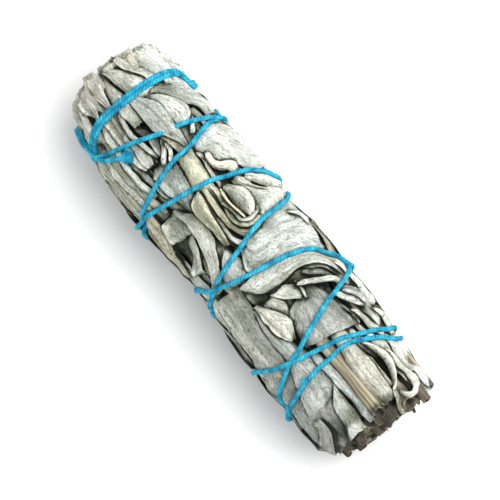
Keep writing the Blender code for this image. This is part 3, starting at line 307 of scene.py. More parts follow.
# Narrow leaves, rolls and folds of the upper side: layer, section, rise, colour, how far both
# ends are tucked in, width, and the middle line as the camera sees it
NARROW_LEAVES = (
    # Pale strips of the tip end
    (24, "arch", 0.8, WHITE, (0.0, 0.6), 2.6, ((5.6, 16.3), (13, 17.2), (24, 17.5))),
    (25, "arch", 0.8, WHITE, (0.0, 0.6), 2.4, ((4.6, 14.4), (12, 15.2), (21, 16.6))),
    (26, "arch", 0.9, WHITE, (0.0, 0.6), 2.6, ((3.2, 12.6), (10, 13.8), (18, 14.6))),
    (35, "tilt_up", 0.8, PALE, (0.0, 0.6), 2.2, ((2.5, 4.7), (6, 5.9), (10, 8.3), (15, 10.4))),
    (18, "arch", 0.8, PALE, (0.0, 0.5), 2.0, ((4.6, -11), (10, -12.2), (18, -14.6))),
    (17, "roll", 0.8, TAN, (0.0, 0.5), 2.0, ((7.4, -11.4), (11, -12.6), (16, -14.6))),
    (16, "arch", 0.8, CREAM, (0.0, 0.5), 2.2, ((6.4, -13), (11, -14.8), (17, -16.8))),
    (12, "arch", 0.8, CREAM, (0.0, 0.5), 2.4, ((9, -15.2), (13, -16.4), (20, -18))),
    # Narrow leaves of the -Y side
    (13, "arch", 0.8, GRAY, (0.0, 0.5), 1.8, ((14, -14.2), (20, -16.0), (27, -17.2))),
    (19, "arch", 0.8, GRAY, (0.2, 0.8), 1.7,
     ((9, -9.2), (14, -10.2), (22, -11.2), (30, -11.6), (39, -11.4))),
    (18, "arch", 0.7, OLIVE, (0.2, 0.4), 2.0, ((14.5, -12), (21, -12.8), (30, -13.2), (44, -12.5))),
    (16, "tent", 0.8, GRAY, (0.2, 0.4), 1.5, ((20, -14.6), (30, -14.9), (41, -14.2))),
    (15, "arch", 0.7, OLIVE, (0.3, 0.4), 1.5, ((25, -16.3), (34, -16.4), (44, -15.8))),
    (21, "tent", 0.7, GRAY, (0.3, 0.4), 1.3, ((14.6, -4.2), (20, -5.2), (26, -4.4), (31, -3.2))),
    (20, "flat", 0.5, GRAY, (0.8, 0.2), 3.0, ((20.0, -6.4), (26.6, -6.1), (32.0, -6.4))),
    (18, "arch", 0.7, COOL, (0.3, 0.3), 2.0, ((27.6, -9.8), (34, -9.6), (42, -8.2))),
    # Small folds
    # A near-black fold that paints the shade in a crevice
    (20, "tent", 0.7, DARK, (0.3, 0.3), 1.6, ((25.6, 15), (28, 16.2), (32, 16.4))),
    (21, "arch", 0.7, OLIVE, (0.3, 0.3), 1.7, ((26, 12.8), (28.6, 13.6), (32, 13.6))),
    (22, "arch", 0.7, PALE, (0.3, 0.3), 1.6, ((26.4, 11.4), (29, 10.8), (31.6, 8.8))),
    (25, "arch", 0.6, PALE, (0.3, 0.3), 1.3, ((27.4, 0.8), (30.4, -0.4), (33.6, -3.6))),
    (26, "arch", 0.6, PALE, (0.3, 0.3), 1.2, ((29, 1.2), (32, 0.6), (34.8, -1.6))),
    (19, "arch", 0.6, GRAY, (0.3, 0.3), 1.4, ((26.6, -4.2), (30, -4.2), (32.6, -4.4))),
    # The pale curl and the ring crease beside the second turn
    (44, "arch", 1.4, CREAM, (0.2, 0.3), 2.1,
     ((38.2, 7.9), (41.2, 7.7), (43.2, 9.0), (44.6, 11.2), (47.0, 12.4))),
    (41, "arch", 0.7, CREAM, (0.2, 0.2), 1.5,
     ((36.6, 6.4), (40, 6.6), (43, 5.9), (46.6, 6.2), (47.8, 5.4))),
    # Nested folds that open towards the tip end
    (43, "arch", 0.9, YELLOW, (0.2, 0.3), 1.9,
     ((46, 3.6), (51, 3.6), (56, 2.8), (59.6, 3.8), (60.8, 7), (60.2, 12), (58.4, 15.2))),
    (42, "arch", 0.9, YELLOW, (0.3, 0.3), 1.8,
     ((45.4, 1.4), (51, 0.8), (57, 0.9), (60.8, 2.1), (62.2, 5), (61.8, 9))),
    (41, "arch", 0.9, PALE, (0.3, 0.3), 1.7, ((46, -0.6), (52, -1.1), (58, -1.5), (62, -0.8), (64, 1.2))),
    (40, "arch", 0.9, PALE, (0.3, 0.3), 1.5, ((50, -1.6), (54, -2.6), (58.6, -3.0), (62.6, -2.4))),
    (49, "arch", 0.7, PALE, (0.1, 0.2), 1.3,
     ((51.6, 3.0), (55, 4.0), (58.4, 4.2), (59.6, 6.4), (58.6, 9), (54, 10.6))),
    (50, "arch", 0.4, YELLOW, (0.1, 0.1), 0.9, ((48.4, 4.9), (52, 4.4), (56, 4.8), (58.8, 5.2))),
    # Thick folds of the +Y side
    (39, "arch", 1.2, PALE, (0.2, 0.3), 2.5, ((48, 10.8), (53, 12.2), (57.4, 15.4), (61, 18.4))),
    (37, "arch", 1.1, PALE, (0.2, 0.3), 2.3, ((49.4, 13.4), (53.6, 16.6), (58, 18.6))),
    (34, "arch", 1.0, PALE, (0.3, 0.3), 2.2, ((50.4, 16.2), (55, 18.4), (61, 19.4))),
    (39, "arch", 0.9, PALE, (0.3, 0.3), 1.7, ((78.6, 9.6), (81.6, 13.6), (86, 16.8), (90, 17.8))),
    (38, "arch", 0.9, GRAY, (0.3, 0.3), 1.6, ((79.6, 8.8), (83, 13), (88, 15.8))),
    (46, "roll", 1.0, GRAY, (0.2, 0.2), 1.8, ((81.4, 4.6), (83.4, 8.8), (86, 13.2), (88.6, 16))),
    (45, "arch", 0.4, PALE, (0.1, 0.1), 0.7, ((80.2, 5.2), (83, 5.2), (85.6, 4.6))),
    (36, "arch", 1.0, PALE, (0.3, 0.3), 2.3, ((82, 18.8), (90, 19.0), (99, 19.2))),
    (38, "arch", 1.1, GRAY, (0.3, 0.3), 2.2, ((88.4, 16.2), (95, 17.0), (104, 16.6))),
    (39, "roll", 1.0, GRAY, (0.2, 0.3), 2.2, ((89.6, 12.4), (93, 13.8), (97, 15.6))),
    (37, "arch", 1.0, PALE, (0.3, 0.3), 2.3, ((95.6, 12.9), (100, 14.6), (107, 15.6))),
    (35, "arch", 1.0, PALE, (0.3, 0.3), 1.9, ((96, 11.8), (101, 12.2), (106, 12.3))),
    # A near-black fold that paints the shade in a crevice
    (29, "tent", 0.8, DARK, (0.2, 0.2), 2.0, ((99, 18.8), (103, 18.8), (108, 18.6))),
    # Strips of the cut end
    (43, "arch", 0.8, CREAM, (0.4, 0.3), 1.3,
     ((103, 8.8), (108, 10.6), (114, 11.0), (118, 9.8), (119.8, 7.4))),
    (41, "arch", 0.9, PALE, (0.3, 0.0), 1.7,
     ((110, 12.2), (117, 13.2), (122.6, 12.8), (123.8, 10.6), (121, 9.4))),
    (38, "arch", 0.8, WHITE, (0.4, 0.0), 2.0, ((107, 15.9), (116, 15.6), (125.2, 15.2))),
    (37, "arch", 0.9, WHITE, (0.4, 0.0), 2.2, ((108, 17.6), (118, 17.8), (125.2, 16.8))),
    (32, "tent", 0.7, GRAY, (0.4, 0.0), 1.6, ((104, 12.6), (113, 12.2), (125, 11.6))),
    (40, "arch", 0.9, COOL, (0.5, 0.0), 2.6, ((97.6, -4.2), (105, -3.3), (113, -2.9), (122.8, -2.5))),
    (28, "arch", 0.7, OLIVE, (0.5, 0.2), 1.3, ((108, 7.9), (113, 7.9), (118.4, 7.9))),
    (39, "arch", 0.7, OLIVE, (0.3, 0.0), 2.6, ((119.6, 8.0), (123, 8.0), (126.6, 7.4))),
    (30, "tent", 0.7, TAN, (0.3, 0.0), 1.8, ((120.6, 3.6), (126.2, 3.4))),
    # Rolls of the cut end in near-black browns: their own brown darkened with painted shade of the end face
    (31, "roll", 0.7, UMBER, (0.3, 0.0), 2.6, ((120.4, 1.2), (123, 1.0), (127.2, 0.6))),
    (29, "roll", 0.7, UMBER, (0.3, 0.0), 2.4, ((120, -3.4), (126.9, -3.2))),
    (27, "roll", 0.7, BROWN, (0.3, 0.0), 2.8, ((120, -5.4), (126.9, -5.6))),
    (28, "roll", 0.7, UMBER, (0.3, 0.0), 2.6, ((121, -7.6), (126.6, -7.9))),
    (26, "roll", 0.7, BROWN, (0.3, 0.0), 1.9, ((121, -9.6), (126.9, -10.2))),
    (33, "roll", 0.7, UMBER, (0.3, 0.0), 1.6, ((122, 10.6), (128.4, 10.6))),
    (34, "roll", 0.9, PALE, (0.3, 0.0), 2.6, ((120, 15.2), (126.6, 14.8))),
    (33, "roll", 0.9, TAN, (0.3, 0.0), 1.8, ((118, 12.2), (127.6, 12.4))),
    # Slim creases of the +Y side
    (40, "tent", 0.8, GRAY, (0.2, 0.2), 1.2, ((90.4, 13.9), (93.4, 15.6), (97, 16.2))),
    (36, "tent", 0.8, GRAY, (0.2, 0.2), 1.0, ((91, 11.6), (95.6, 12.3), (100, 12.6))),
    (41, "tent", 0.7, PALE, (0.2, 0.2), 0.9, ((99.6, 17.2), (103.6, 17.9), (108.4, 17.4))),
    (42, "tent", 0.7, CREAM, (0.2, 0.2), 0.8, ((83, 16.6), (87.6, 18.2), (93, 18.2))),
    (30, "tent", 0.7, GRAY, (0.2, 0.2), 1.1, ((86.4, 8.4), (88.6, 11.2), (89.4, 13.2))),
    (37, "tent", 0.6, PALE, (0.2, 0.2), 0.8, ((64.4, 16.2), (67, 17.8), (70.6, 18.2))),
)

# The lance leaf whose tip lies over the string
OVER_STRING = (
    (60, "arch", 0.6, PALE, (0.6, 0.1),
     ((12.6, 2.2), (14.6, 3.0), (17, 5), (20, 6.2), (25, 6.3), (30, 6.3), (33.4, 5.8)),
     ((12.6, 0.3), (16, 0.2), (20, 0.2), (25, 0.4), (27.7, 2), (30.3, 3.3), (33.2, 4.8))),
)

# Dark hollows between the leaves as the camera sees them: middle along and across, half length,
# half width, depth
HOLLOWS = (
    (22.4, -1.2, 1.8, 1.0, 2.6),
    (29.5, 14.6, 2.6, 1.2, 1.6),
    (46.5, -6.4, 2.4, 1.0, 1.4),
    (47.6, 9.2, 1.8, 2.2, 2.4),
    (56.0, -5.0, 6.0, 0.9, 1.8),
    (56.5, -14.0, 4.0, 2.0, 2.2),
    (61.6, -3.4, 1.6, 1.2, 2.0),
    (78.4, -5.8, 2.4, 2.8, 3.0),
    (80.4, 8.0, 1.4, 3.0, 2.0),
    (93.6, -6.2, 2.0, 1.2, 2.0),
    (97.4, -2.6, 1.0, 3.0, 2.0),
    (98.0, 14.4, 2.0, 0.9, 2.0),
    (102.0, 18.2, 3.6, 0.8, 1.6),
    (111.0, 14.8, 4.5, 0.8, 2.0),
    (112.6, 9.6, 6.0, 1.2, 2.6),
    (116.0, -4.6, 7.0, 0.8, 2.0),
    (124.6, -6.0, 2.6, 4.0, 1.6),
    (30.0, -3.4, 3.0, 0.6, 1.0),
    (9.0, -0.6, 4.0, 0.6, 1.4),
    (50.4, 5.4, 2.0, 0.5, 1.2),
    (57.0, 5.6, 1.8, 0.5, 1.2),
    (111.0, 0.4, 15.0, 2.6, 2.4),
)

# Packed leaves under those, and the leaves of the flanks and the underside, follow a rule: how many
# rows and how many leaves a row, between two angles, with ranges of width, length and rise
RULE_SPAN = (2.5, LENGTH - 3.5)
RULE_ENDS = 4
SHORTEST = 12
RULE_LEAN = 0.05
RULE_EDGE = 0.22
LISTED_EDGE = 0.16
COARSE_STEPS = (1.3, 0.75)
MIDDLE_STEPS = (0.9, 0.5)
PACKED_ROWS = 22
PACKED_COAT = {
    "row_count": PACKED_ROWS,
    "a_row": 5,
    "first": 0.0,
    "last": 2 * math.pi * (1 - 1 / PACKED_ROWS),
    "widths": (5.0, 8.0),
    "lengths": (30, 46),
    "rises": (0.5, 1.0),
    "tints": (OLIVE, GRAY, OLIVE, TAN, GRAY),
    "slant": 0.16,
    "steps": COARSE_STEPS,
}
MIDDLE_LAST = math.radians(64.0)
MIDDLE_COAT = {
    "row_count": 11,
    "a_row": 5,
    "first": -MIDDLE_LAST,
    "last": MIDDLE_LAST,
    "widths": (5.0, 8.0),
    "lengths": (20, 34),
    "rises": (0.5, 0.9),
    "tints": (GRAY, OLIVE, PALE, GRAY, COOL),
    "slant": 0.14,
    "steps": MIDDLE_STEPS,
}
SIDE_COAT = {
    "row_count": 15,
    "a_row": 5,
    "first": math.radians(72.0),
    "last": math.radians(282.0),
    "shift": math.radians(7.0),
    "widths": (5.0, 9.5),
    "lengths": (26, 44),
    "rises": (0.6, 1.2),
    "tints": TINTS,
    "slant": 0.22,
    "steps": MIDDLE_STEPS,
}
SEAM = math.radians(101.0)
SEAM_COAT = {
    "row_count": 2,
    "a_row": 6,
    "first": SEAM,
    "last": 2 * math.pi - SEAM,
    "widths": (5.0, 8.0),
    "lengths": (26, 40),
    "rises": (0.4, 0.8),
    "tints": TINTS,
    "slant": 0.12,
    "steps": MIDDLE_STEPS,
}

# Leaf ends in both end faces: radius, number
END_RINGS = ((1.6, 3), (3.0, 5), (4.4, 7), (5.8, 9), (7.2, 10), (8.6, 12), (10.0, 13), (11.4, 14),
             (12.8, 16), (14.3, 18))
END_WIDTH = 3.9
END_CLEAR = 0.9
END_LENGTHS = (14, 20)
BUTT_STATION = LENGTH - 1.2
# How far the leaf ends lie back at the tip end and at the cut end: least, most, and more for each
# millimetre from the axis
TIP_INSET = (0.4, 3.4, 0.2)
BUTT_INSET = (0.4, 2.0, 0.05)

# Stems: inner station, outer station, offset, height over the axis, radius
STEMS = {
    "stem_split_end": (101.0, 121.5, 3.4, 14.2, 2.3),
    "stem_with_nodes": (96.5, 125.0, -1.4, 15.9, 2.0),
    "stem_hollow_end": (80.0, 129.2, 7.3, 10.2, 2.25),
    "stem_thin": (86.0, 129.8, 11.6, 9.3, 1.4),
    "stem_upper_inner": (72.0, 128.7, 1.2, 10.3, 1.8),
    "stem_right_side": (84.0, 127.5, 14.8, 3.0, 1.9),
    "stem_left_upper": (80.0, 125.2, -4.5, 8.6, 1.6),
    "stem_left_side": (74.0, 126.2, -10.5, 5.5, 1.7),
    "stem_left_lower": (82.0, 125.5, -13.5, -2.0, 1.5),
    "stem_left_inner": (64.0, 127.0, -7.0, -3.0, 2.0),
    "stem_centre": (60.0, 128.2, 0.5, 2.5, 2.1),
    "stem_right_inner": (70.0, 128.0, 8.0, -2.5, 1.8),
    "stem_right_lower": (76.0, 126.5, 3.0, -8.0, 1.7),
    "stem_low": (80.0, 127.5, -5.0, -10.0, 1.6),
}
UPPER_STEMS = ("stem_split_end", "stem_with_nodes")
STEM_SIDES = 24
STEM_ROWS = 46
STEM_FIT = 0.965
STEM_BEND = 0.18
NODE_SWELL = 0.10
NODE_LENGTH = 0.018
# From where the bark darkens towards the cut end: weathering with painted shade
WEATHERED_SHADED_FROM = 121.5
WEATHERED_SHADED_FADE = 2.0
STEM_JAG = 0.35
JAG_ROWS = 4
HOLLOW_SLANT = 0.7
STEM_DISH = 0.3
PITH_DEPTH = 2.5
# Rings of a cut end: share of the radius, how far it stands out, mark of the cut
STEM_END = ((0.93, 0.12, 0.6), (0.86, 0.16, 0.7), (0.66, 0.0, 0.9), (0.56, -0.3, 1.0),
            (0.50, -PITH_DEPTH, 1.0))

# The string: where its turns run over the upper side, as the camera sees them
KNOT = (20.0, -16.8)
FIRST_TURN = (
    (17.7, -16.3), (15.1, -13.3), (13.1, -9.3), (12.6, -3.3), (12.7, 3.3), (13.2, 8.7),
    (14.1, 13.0), (16.1, 15.8), (20.5, 17.1),
)
SECOND_TURN_SHIFT = 1.15
TURN_B = (
    KNOT, (21.8, -13.3), (23.3, -8.0), (25.0, -2.7), (26.2, 1.0), (26.9, 3.6), (27.6, 6.4),
    (29.0, 10.0), (31.0, 14.3), (33.3, 17.2),
)
TURN_D = (
    (42.0, -18.6), (41.7, -15.5), (42.5, -10.0), (43.5, -3.3), (44.7, 2.7), (46.3, 8.7),
    (48.3, 13.3), (51.5, 17.2), (55.0, 18.6),
)
TURN_F = (
    (66.0, -17.6), (68.3, -15.3), (70.0, -10.0), (71.2, -4.7), (72.2, 0.7), (73.3, 6.3),
    (75.2, 11.7), (77.7, 16.0), (81.5, 19.0), (86.0, 19.6),
)
TURN_H = (
    (93.0, -19.0), (95.0, -16.5), (96.5, -11.7), (97.7, -6.3), (98.7, -1.0), (100.0, 4.3),
    (102.0, 9.0), (105.0, 15.0), (106.8, 17.2),
)
TURN_I = (
    (107.0, -19.0), (105.3, -15.3), (103.7, -11.0), (102.7, -6.0), (102.3, -0.7), (102.2, 4.7),
    (103.8, 8.7), (107.0, 14.0), (110.2, 17.2),
)
TURN_G = (
    (107.8, -19.0), (103.3, -18.5), (100.0, -15.7), (97.3, -12.0), (95.7, -7.0), (93.7, -2.0),
    (91.8, 3.3), (90.2, 8.0), (89.3, 12.3), (88.0, 17.6), (86.8, 19.5),
)
TURN_E = (
    (72.2, -18.2), (69.3, -15.3), (67.2, -11.3), (65.7, -6.7), (64.2, -1.3), (62.7, 4.0),
    (61.8, 9.3), (61.8, 14.7), (61.7, 18.6),
)
TURN_C = (
    (42.4, -18.6), (39.5, -15.0), (37.3, -10.0), (35.5, -4.7), (34.3, 0.7), (33.8, 6.7),
    (32.5, 12.0), (32.2, 15.3), (33.0, 17.2),
)
LAST_RETURN = (10.8, -15.6)
TAIL = (KNOT, (21.9, -15.6), (23.4, -13.7), (24.8, -11.4), (25.4, -10.3))
SMALL_KNOT = (103.0, -10.3)
COVERED_SPAN = ((26.3, 1.4), (27.6, 6.2))
STRING_STEP = 0.5
HUMP_REACH = 2.6
STRANDS = 3
STRAND_TURN = 3.6
STRAND_DEPTH = 0.13
STRAND_ROUNDNESS = 0.8
STRAND_CROWN = 1.5
STRING_SIDES = 15
FUZZ_FIBRES = 1500
FUZZ_LENGTH = 1.1
FUZZ_RADIUS = 0.022
FUZZ_PLY = 0.9
TUFT_FIBRES = 110
TUFT_LENGTH = 4.6
TUFT_SPREAD = 0.62
TUFT_RADIUS = 0.21
KNOT_TURNS = 2.2
KNOT_LIFT = 0.5
AROUND = np.array((1.0, AXIS_HEIGHT))


def half_turns(angle):
    """An angle, or a difference of angles, within half a turn of nothing."""
    return (angle + math.pi) % (2 * math.pi) - math.pi


def unit(vectors, tiny=TINY):
    """Vectors at length one."""
    return vectors / (np.linalg.norm(vectors, axis=-1, keepdims=True) + tiny)


def outward(angle):
    """The direction straight out of the bunch at angles round it."""
    return np.stack((0 * angle, np.sin(angle), np.cos(angle)), axis=-1)


def camera_axes():
    """How the place along and across the bunch in the picture follows from a point."""
    azimuth, elevation = CAMERA_AZIMUTH, CAMERA_ELEVATION
    right = np.array((math.cos(azimuth), math.sin(azimuth), 0.0))
    down = np.array((math.sin(azimuth), -math.cos(azimuth), 0.0)) * math.sin(elevation)
    down[2] = -math.cos(elevation)
    along, across = AXIS_IN_PICTURE
    return along * right + across * down, across * right - along * down


def outline_radius(station, angle):
    """Distance from the axis to the outline of the bunch."""
    upper = np.interp(station, *zip(*UPPER_OUTLINE))
    lower = np.interp(station, *zip(*LOWER_OUTLINE))
    return lower + (upper - lower) * (0.5 + 0.5 * np.sin(angle))


def surface_place(seen_along, seen_across):
    """Station and angle of a point of the upper side from its place in the picture."""
    along, across = camera_axes()
    seen_along = np.asarray(seen_along, float)
    seen_across = np.asarray(seen_across, float)
    swing = math.hypot(across[1], across[2])
    lean = math.atan2(across[2], across[1])
    station = seen_along
    for _ in range(3):
        side = outline_radius(station, np.sign(seen_across) * math.pi / 2)
        ratio = seen_across / (side * swing)
        beyond = np.sign(ratio) * np.maximum(np.abs(ratio) - WRAP_FROM, 0.0) * WRAP
        angle = np.arcsin(np.clip(ratio, -WRAP_FROM, WRAP_FROM)) + beyond - lean
        radius = outline_radius(station, angle)
        drift = along[1] * radius * np.sin(angle) + along[2] * radius * np.cos(angle)
        station = (seen_along - LENGTH / 2 - drift) / along[0] + LENGTH / 2
    return station, angle


def squeezed(height):
    """Height with the outermost leaves pressed together below the greatest height."""
    room = HIGHEST - KNEE
    over = np.maximum(height - KNEE, 0.0)
    return np.minimum(height, KNEE) + room * (1.0 - np.exp(-over / room))


class StringPress:
    """How the string presses on the leaves, from points along it."""

    def __init__(self, rows):
        self.heights = []
        self.tree = kdtree.KDTree(3 * len(rows))
        for number, (station, angle, height) in enumerate(rows):
            self.heights.append(height)
            for turn in (-1, 0, 1):
                around = (half_turns(angle) + turn * 2 * math.pi) * AXIS_HEIGHT
                self.tree.insert((station, around, 0.0), number)
        self.tree.balance()

    def nearest(self, stations, angles):
        """Distance to the nearest point of the string and its height."""
        reach = np.empty(stations.size)
        height = np.empty(stations.size)
        around = half_turns(angles.ravel()) * AXIS_HEIGHT
        for number, place in enumerate(zip(stations.ravel(), around)):
            _, found, distance = self.tree.find((*place, 0.0))
            reach[number] = distance
            height[number] = self.heights[found]
        return reach.reshape(stations.shape), height.reshape(stations.shape)


def pinched(reach):
    """How much slimmer the bunch is near the string."""
    return PINCH * np.exp(-((reach / PINCH_REACH) ** 2))


def pressed(height, reach, string_height):
    """Leaf height under the string's limit, with the order of the leaves kept."""
    groove = 1.0 - np.exp(-((reach / GROOVE_REACH) ** 2))
    limit = string_height - PRESS_SHARE * STRING_RADIUS + GROOVE_SHOULDER * groove
    knee = limit - PRESS_BAND
    over = np.maximum(height - knee, 0.0)
    return np.minimum(height, knee) + PRESS_BAND * (1.0 - np.exp(-over / PRESS_BAND))


def frame_shift():
    """Where the axis of the solids lies, from the stem in the middle."""
    _, end, offset, _, _ = STEMS["stem_centre"]
    low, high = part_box("stem_centre")
    along = high.x / MM - (end - LENGTH / 2)
    across = (low.y + high.y) / 2 / MM - offset
    return along, across


SHIFT = frame_shift()


def in_space(station, angle, height, reach=None, soft_floor=True):
    """Points in the frame, in millimetres, from places on the bunch."""
    radius = outline_radius(station, angle) + height
    if reach is not None:
        radius = radius - pinched(reach)
    rise = AXIS_HEIGHT + radius * np.cos(angle)
    if soft_floor:
        below = np.minimum(rise - FLOOR_REACH, 0.0)
        rise = np.maximum(rise, FLOOR_REACH) - (FLOOR_REACH - FLOOR_GAP) * (1.0 - np.exp(below / FLOOR_REACH))
    east = station - LENGTH / 2 + SHIFT[0]
    return np.stack((east, radius * np.sin(angle) + SHIFT[1], rise), axis=-1)


def smooth_line(points, count):
    """Points evenly spaced along a Catmull-Rom curve through a list of places."""
    rows = np.array(points, dtype=float)
    rows = np.vstack((2 * rows[0] - rows[1], rows, 2 * rows[-1] - rows[-2]))
    share = np.linspace(0.0, 1.0, 16, endpoint=False)[:, None]
    pieces = []
    for before, start, end, after in zip(rows[:-3], rows[1:-2], rows[2:-1], rows[3:]):
        curve = 2 * start + (end - before) * share
        curve = curve + (2 * before - 5 * start + 4 * end - after) * share**2
        curve = curve + (3 * start - before - 3 * end + after) * share**3
        pieces.append(curve / 2)
    fine = np.vstack(pieces + [rows[-2:-1]])
    gaps = np.hypot(*np.diff(fine[:, :2], axis=0).T)
    along = np.concatenate(((0.0,), np.cumsum(gaps)))
    places = np.linspace(0.0, along[-1], count)
    return np.stack([np.interp(places, along, column) for column in fine.T], axis=1)


def line_length(points):
    """Length of a line through a list of places."""
    return float(np.hypot(*np.diff(np.array(points, dtype=float)[:, :2], axis=0).T).sum())


def soft_noise(draw, shape, cells):
    """Smooth noise from -1 to 1 over a grid, with a number of cells each way."""
    values = draw.uniform(-1.0, 1.0, (cells[0] + 2, cells[1] + 2))
    places = []
    for count, cell_count in zip(shape, cells):
        spot = np.linspace(0.0, cell_count, count)
        first = np.minimum(spot.astype(int), cell_count)
        share = spot - first
        places.append((first, share * share * (3 - 2 * share)))
    (row, down), (column, right) = places
    down = down[:, None]
    row = row[:, None]
    near = values[row, column] * (1 - right) + values[row, column + 1] * right
    far = values[row + 1, column] * (1 - right) + values[row + 1, column + 1] * right
    return near * (1 - down) + far * down


class Layers:
    """How high the outermost leaf surface lies, in cells of station and angle."""

    def __init__(self, level):
        self.rows = round((LENGTH + 2 * MARGIN) / CELL)
        self.columns = round(2 * math.pi * AXIS_HEIGHT / CELL)
        self.height = np.full((self.rows, self.columns), level)

    def cells(self, stations, angles):
        """The cells of places."""
        row = np.clip(np.rint((stations + MARGIN) / CELL).astype(int), 0, self.rows - 1)
        column = np.rint(angles / (2 * math.pi) * self.columns).astype(int)
        return row, column

    def look(self, stations, angles, reach=1):
        """The height of the highest leaf close to places."""
        row, column = self.cells(stations, angles)
        best = np.full(stations.shape, -np.inf)
        for down in range(-reach, reach + 1):
            near = np.clip(row + down, 0, self.rows - 1)
            for right in range(-reach, reach + 1):
                best = np.maximum(best, self.height[near, (column + right) % self.columns])
        return best

    def cover(self, stations, angles, heights):
        """Mark a grid of places as covered up to its heights."""
        parts = []
        for values in (stations, angles, heights):
            parts.append(refined(refined(values, 3).T, 3).T)
        self.lift(*parts)

    def lift(self, stations, angles, heights):
        """Raise the cells of places to heights, where they are lower."""
        row, column = self.cells(stations, angles)
        np.maximum.at(self.height, (row, column % self.columns), heights)


def refined(values, times):
    """A grid with its rows divided further."""
    spots = np.linspace(0, len(values) - 1, (len(values) - 1) * times + 1)
    first = np.minimum(spots.astype(int), len(values) - 2)
    share = (spots - first)[:, None]
    return values[first] * (1 - share) + values[first + 1] * share


def draped(base, rounds):
    """A sheet's heights where it lies on a base, bending over what stands up."""
    height = base.copy()
    for _ in range(rounds):
        wide = np.pad(height, 1, mode="edge")
        around = wide[:-2, 1:-1] + wide[2:, 1:-1] + wide[1:-1, :-2] + wide[1:-1, 2:]
        height = np.maximum(base, around / 4)
    return height


def section_height(kind, share):
    """Height of a leaf's section from one edge, at -1, to the other, at 1."""
    edge = np.abs(share)
    if kind == "flat":
        return 0.5 * (1 - edge**2)
    if kind == "tent":
        return (1 - edge) ** 1.15
    if kind == "gutter":
        return 0.15 + 0.85 * edge**1.7
    if kind == "tilt_up":
        return 0.5 - 0.5 * share
    if kind == "tilt_down":
        return 0.5 + 0.5 * share
    if kind == "pleat":
        return 0.5 + 0.5 * np.cos(2.6 * math.pi * share) * (1 - 0.3 * edge)
    return 1 - edge**2.3


def across_shares(count):
    """Places across a leaf from -1 to 1, closer together near its edges."""
    share = np.linspace(-1.0, 1.0, count)
    return 1.32 * share - 0.32 * share**3


def creases(shape, size, draw):
    """How deep long wavy creases cut into a leaf."""
    along = np.linspace(0.0, 1.0, shape[0])[:, None]
    share = across_shares(shape[1])[None, :]
    depth = np.zeros(shape)
    for _ in range(max(2, round(size[1] / CREASE_SPACING))):
        wave = soft_noise(draw, (shape[0], 1), (5, 1))
        line = draw.uniform(-0.95, 0.95) + draw.uniform(-0.6, 0.6) * (along - 0.5) + 0.15 * wave
        first, last = np.sort(draw.uniform(-0.3, 1.3, 2))
        fade = np.clip((along - first) * 7, 0, 1) * np.clip((last - along) * 7, 0, 1)
        gap = (share - line) * size[1] / 2 / draw.uniform(*CREASE_WIDTHS)
        depth = depth + draw.uniform(*CREASE_DEPTHS) * fade * np.exp(-(gap**2))
    return np.minimum(depth, DEEPEST_CREASE)


class Leaf:
    """One laid leaf: grids of station, angle and height, with its colour."""

    def __init__(self, stations, angles, heights, tint, size, inside=False):
        self.stations = stations
        self.angles = angles
        self.heights = heights
        self.tint = tint
        self.size = size
        self.inside = inside


def grid_between(one, two, steps=FINE_STEPS):
    """A grid of places between two long edges, and its size in millimetres."""
    long = max(line_length(one), line_length(two))
    rows = int(np.clip(round(long / steps[0]), 9, 64))
    first = smooth_line(one, rows)
    second = smooth_line(two, rows)
    wide = float(np.hypot(*(first - second).T[:2]).max())
    columns = int(np.clip(round(wide / steps[1]) + 1, 7, 30))
    mix = ((across_shares(columns) + 1) / 2)[None, :, None]
    return first[:, None, :] * (1 - mix) + second[:, None, :] * mix, (long, wide)


def strip_edges(spine, width, shape):
    """Both long edges of a narrow leaf along its middle line."""
    line = smooth_line(spine, 26)
    course = np.gradient(line, axis=0)
    normal = unit(np.stack((-course[:, 1], course[:, 0]), axis=1), 0.0)
    share = np.linspace(0.0, 1.0, len(line))
    if shape == "lance":
        half = width / 2 * (0.10 + 0.90 * np.sin(math.pi * share**0.85) ** 0.75)
    else:
        half = width / 2 * (0.55 + 0.45 * np.minimum(1.0, np.minimum(share, 1 - share) * 7) ** 0.7)
    return line + normal * half[:, None], line - normal * half[:, None]


def lay_sheet(places, size, kind, rise, tint, ends, layers, draw, rough=1.0, stiff=24):
    """Lay one sheet on what is there, and mark what it covers."""
    stations, angles = places
    rows, columns = stations.shape
    along = np.linspace(0.0, 1.0, rows)[:, None]
    share = across_shares(columns)[None, :]
    base = layers.look(stations, angles)
    ride = draped(base, stiff)
    fall = np.minimum(1.0, np.minimum(along, 1 - along) * 6 + 0.25)
    body = section_height(kind, share) * rise * RISE_SHARE * fall
    rims = np.where(share < 0, draw.uniform(*RIM), draw.uniform(*RIM))
    body = body - rims * np.clip((np.abs(share) - RIM_FROM) / (1 - RIM_FROM), 0.0, 1.0) ** 2
    cells = [max(2, round(side / fold)) for side, fold in zip(size, FOLD_SIZE)]
    folds = soft_noise(draw, stations.shape, cells)
    broad = soft_noise(draw, stations.shape, (max(2, round(size[0] / SWELL_SIZE)), 2))
    height = ride + SHEET + body + WRINKLE * rough * (folds + 0.8 * broad)
    height = height - CREASE * rough * creases(stations.shape, size, draw)
    height = np.maximum(height, base + SHEET)
    tuck = ends[0] * np.clip(1 - along * TUCK_RATE, 0, 1) ** 1.5
    tuck = tuck + ends[1] * np.clip(1 - (1 - along) * TUCK_RATE, 0, 1) ** 1.5
    height = height - tuck * TUCK_DEPTH
    layers.cover(stations, angles, height)
    return Leaf(stations, angles, height, tint, size)


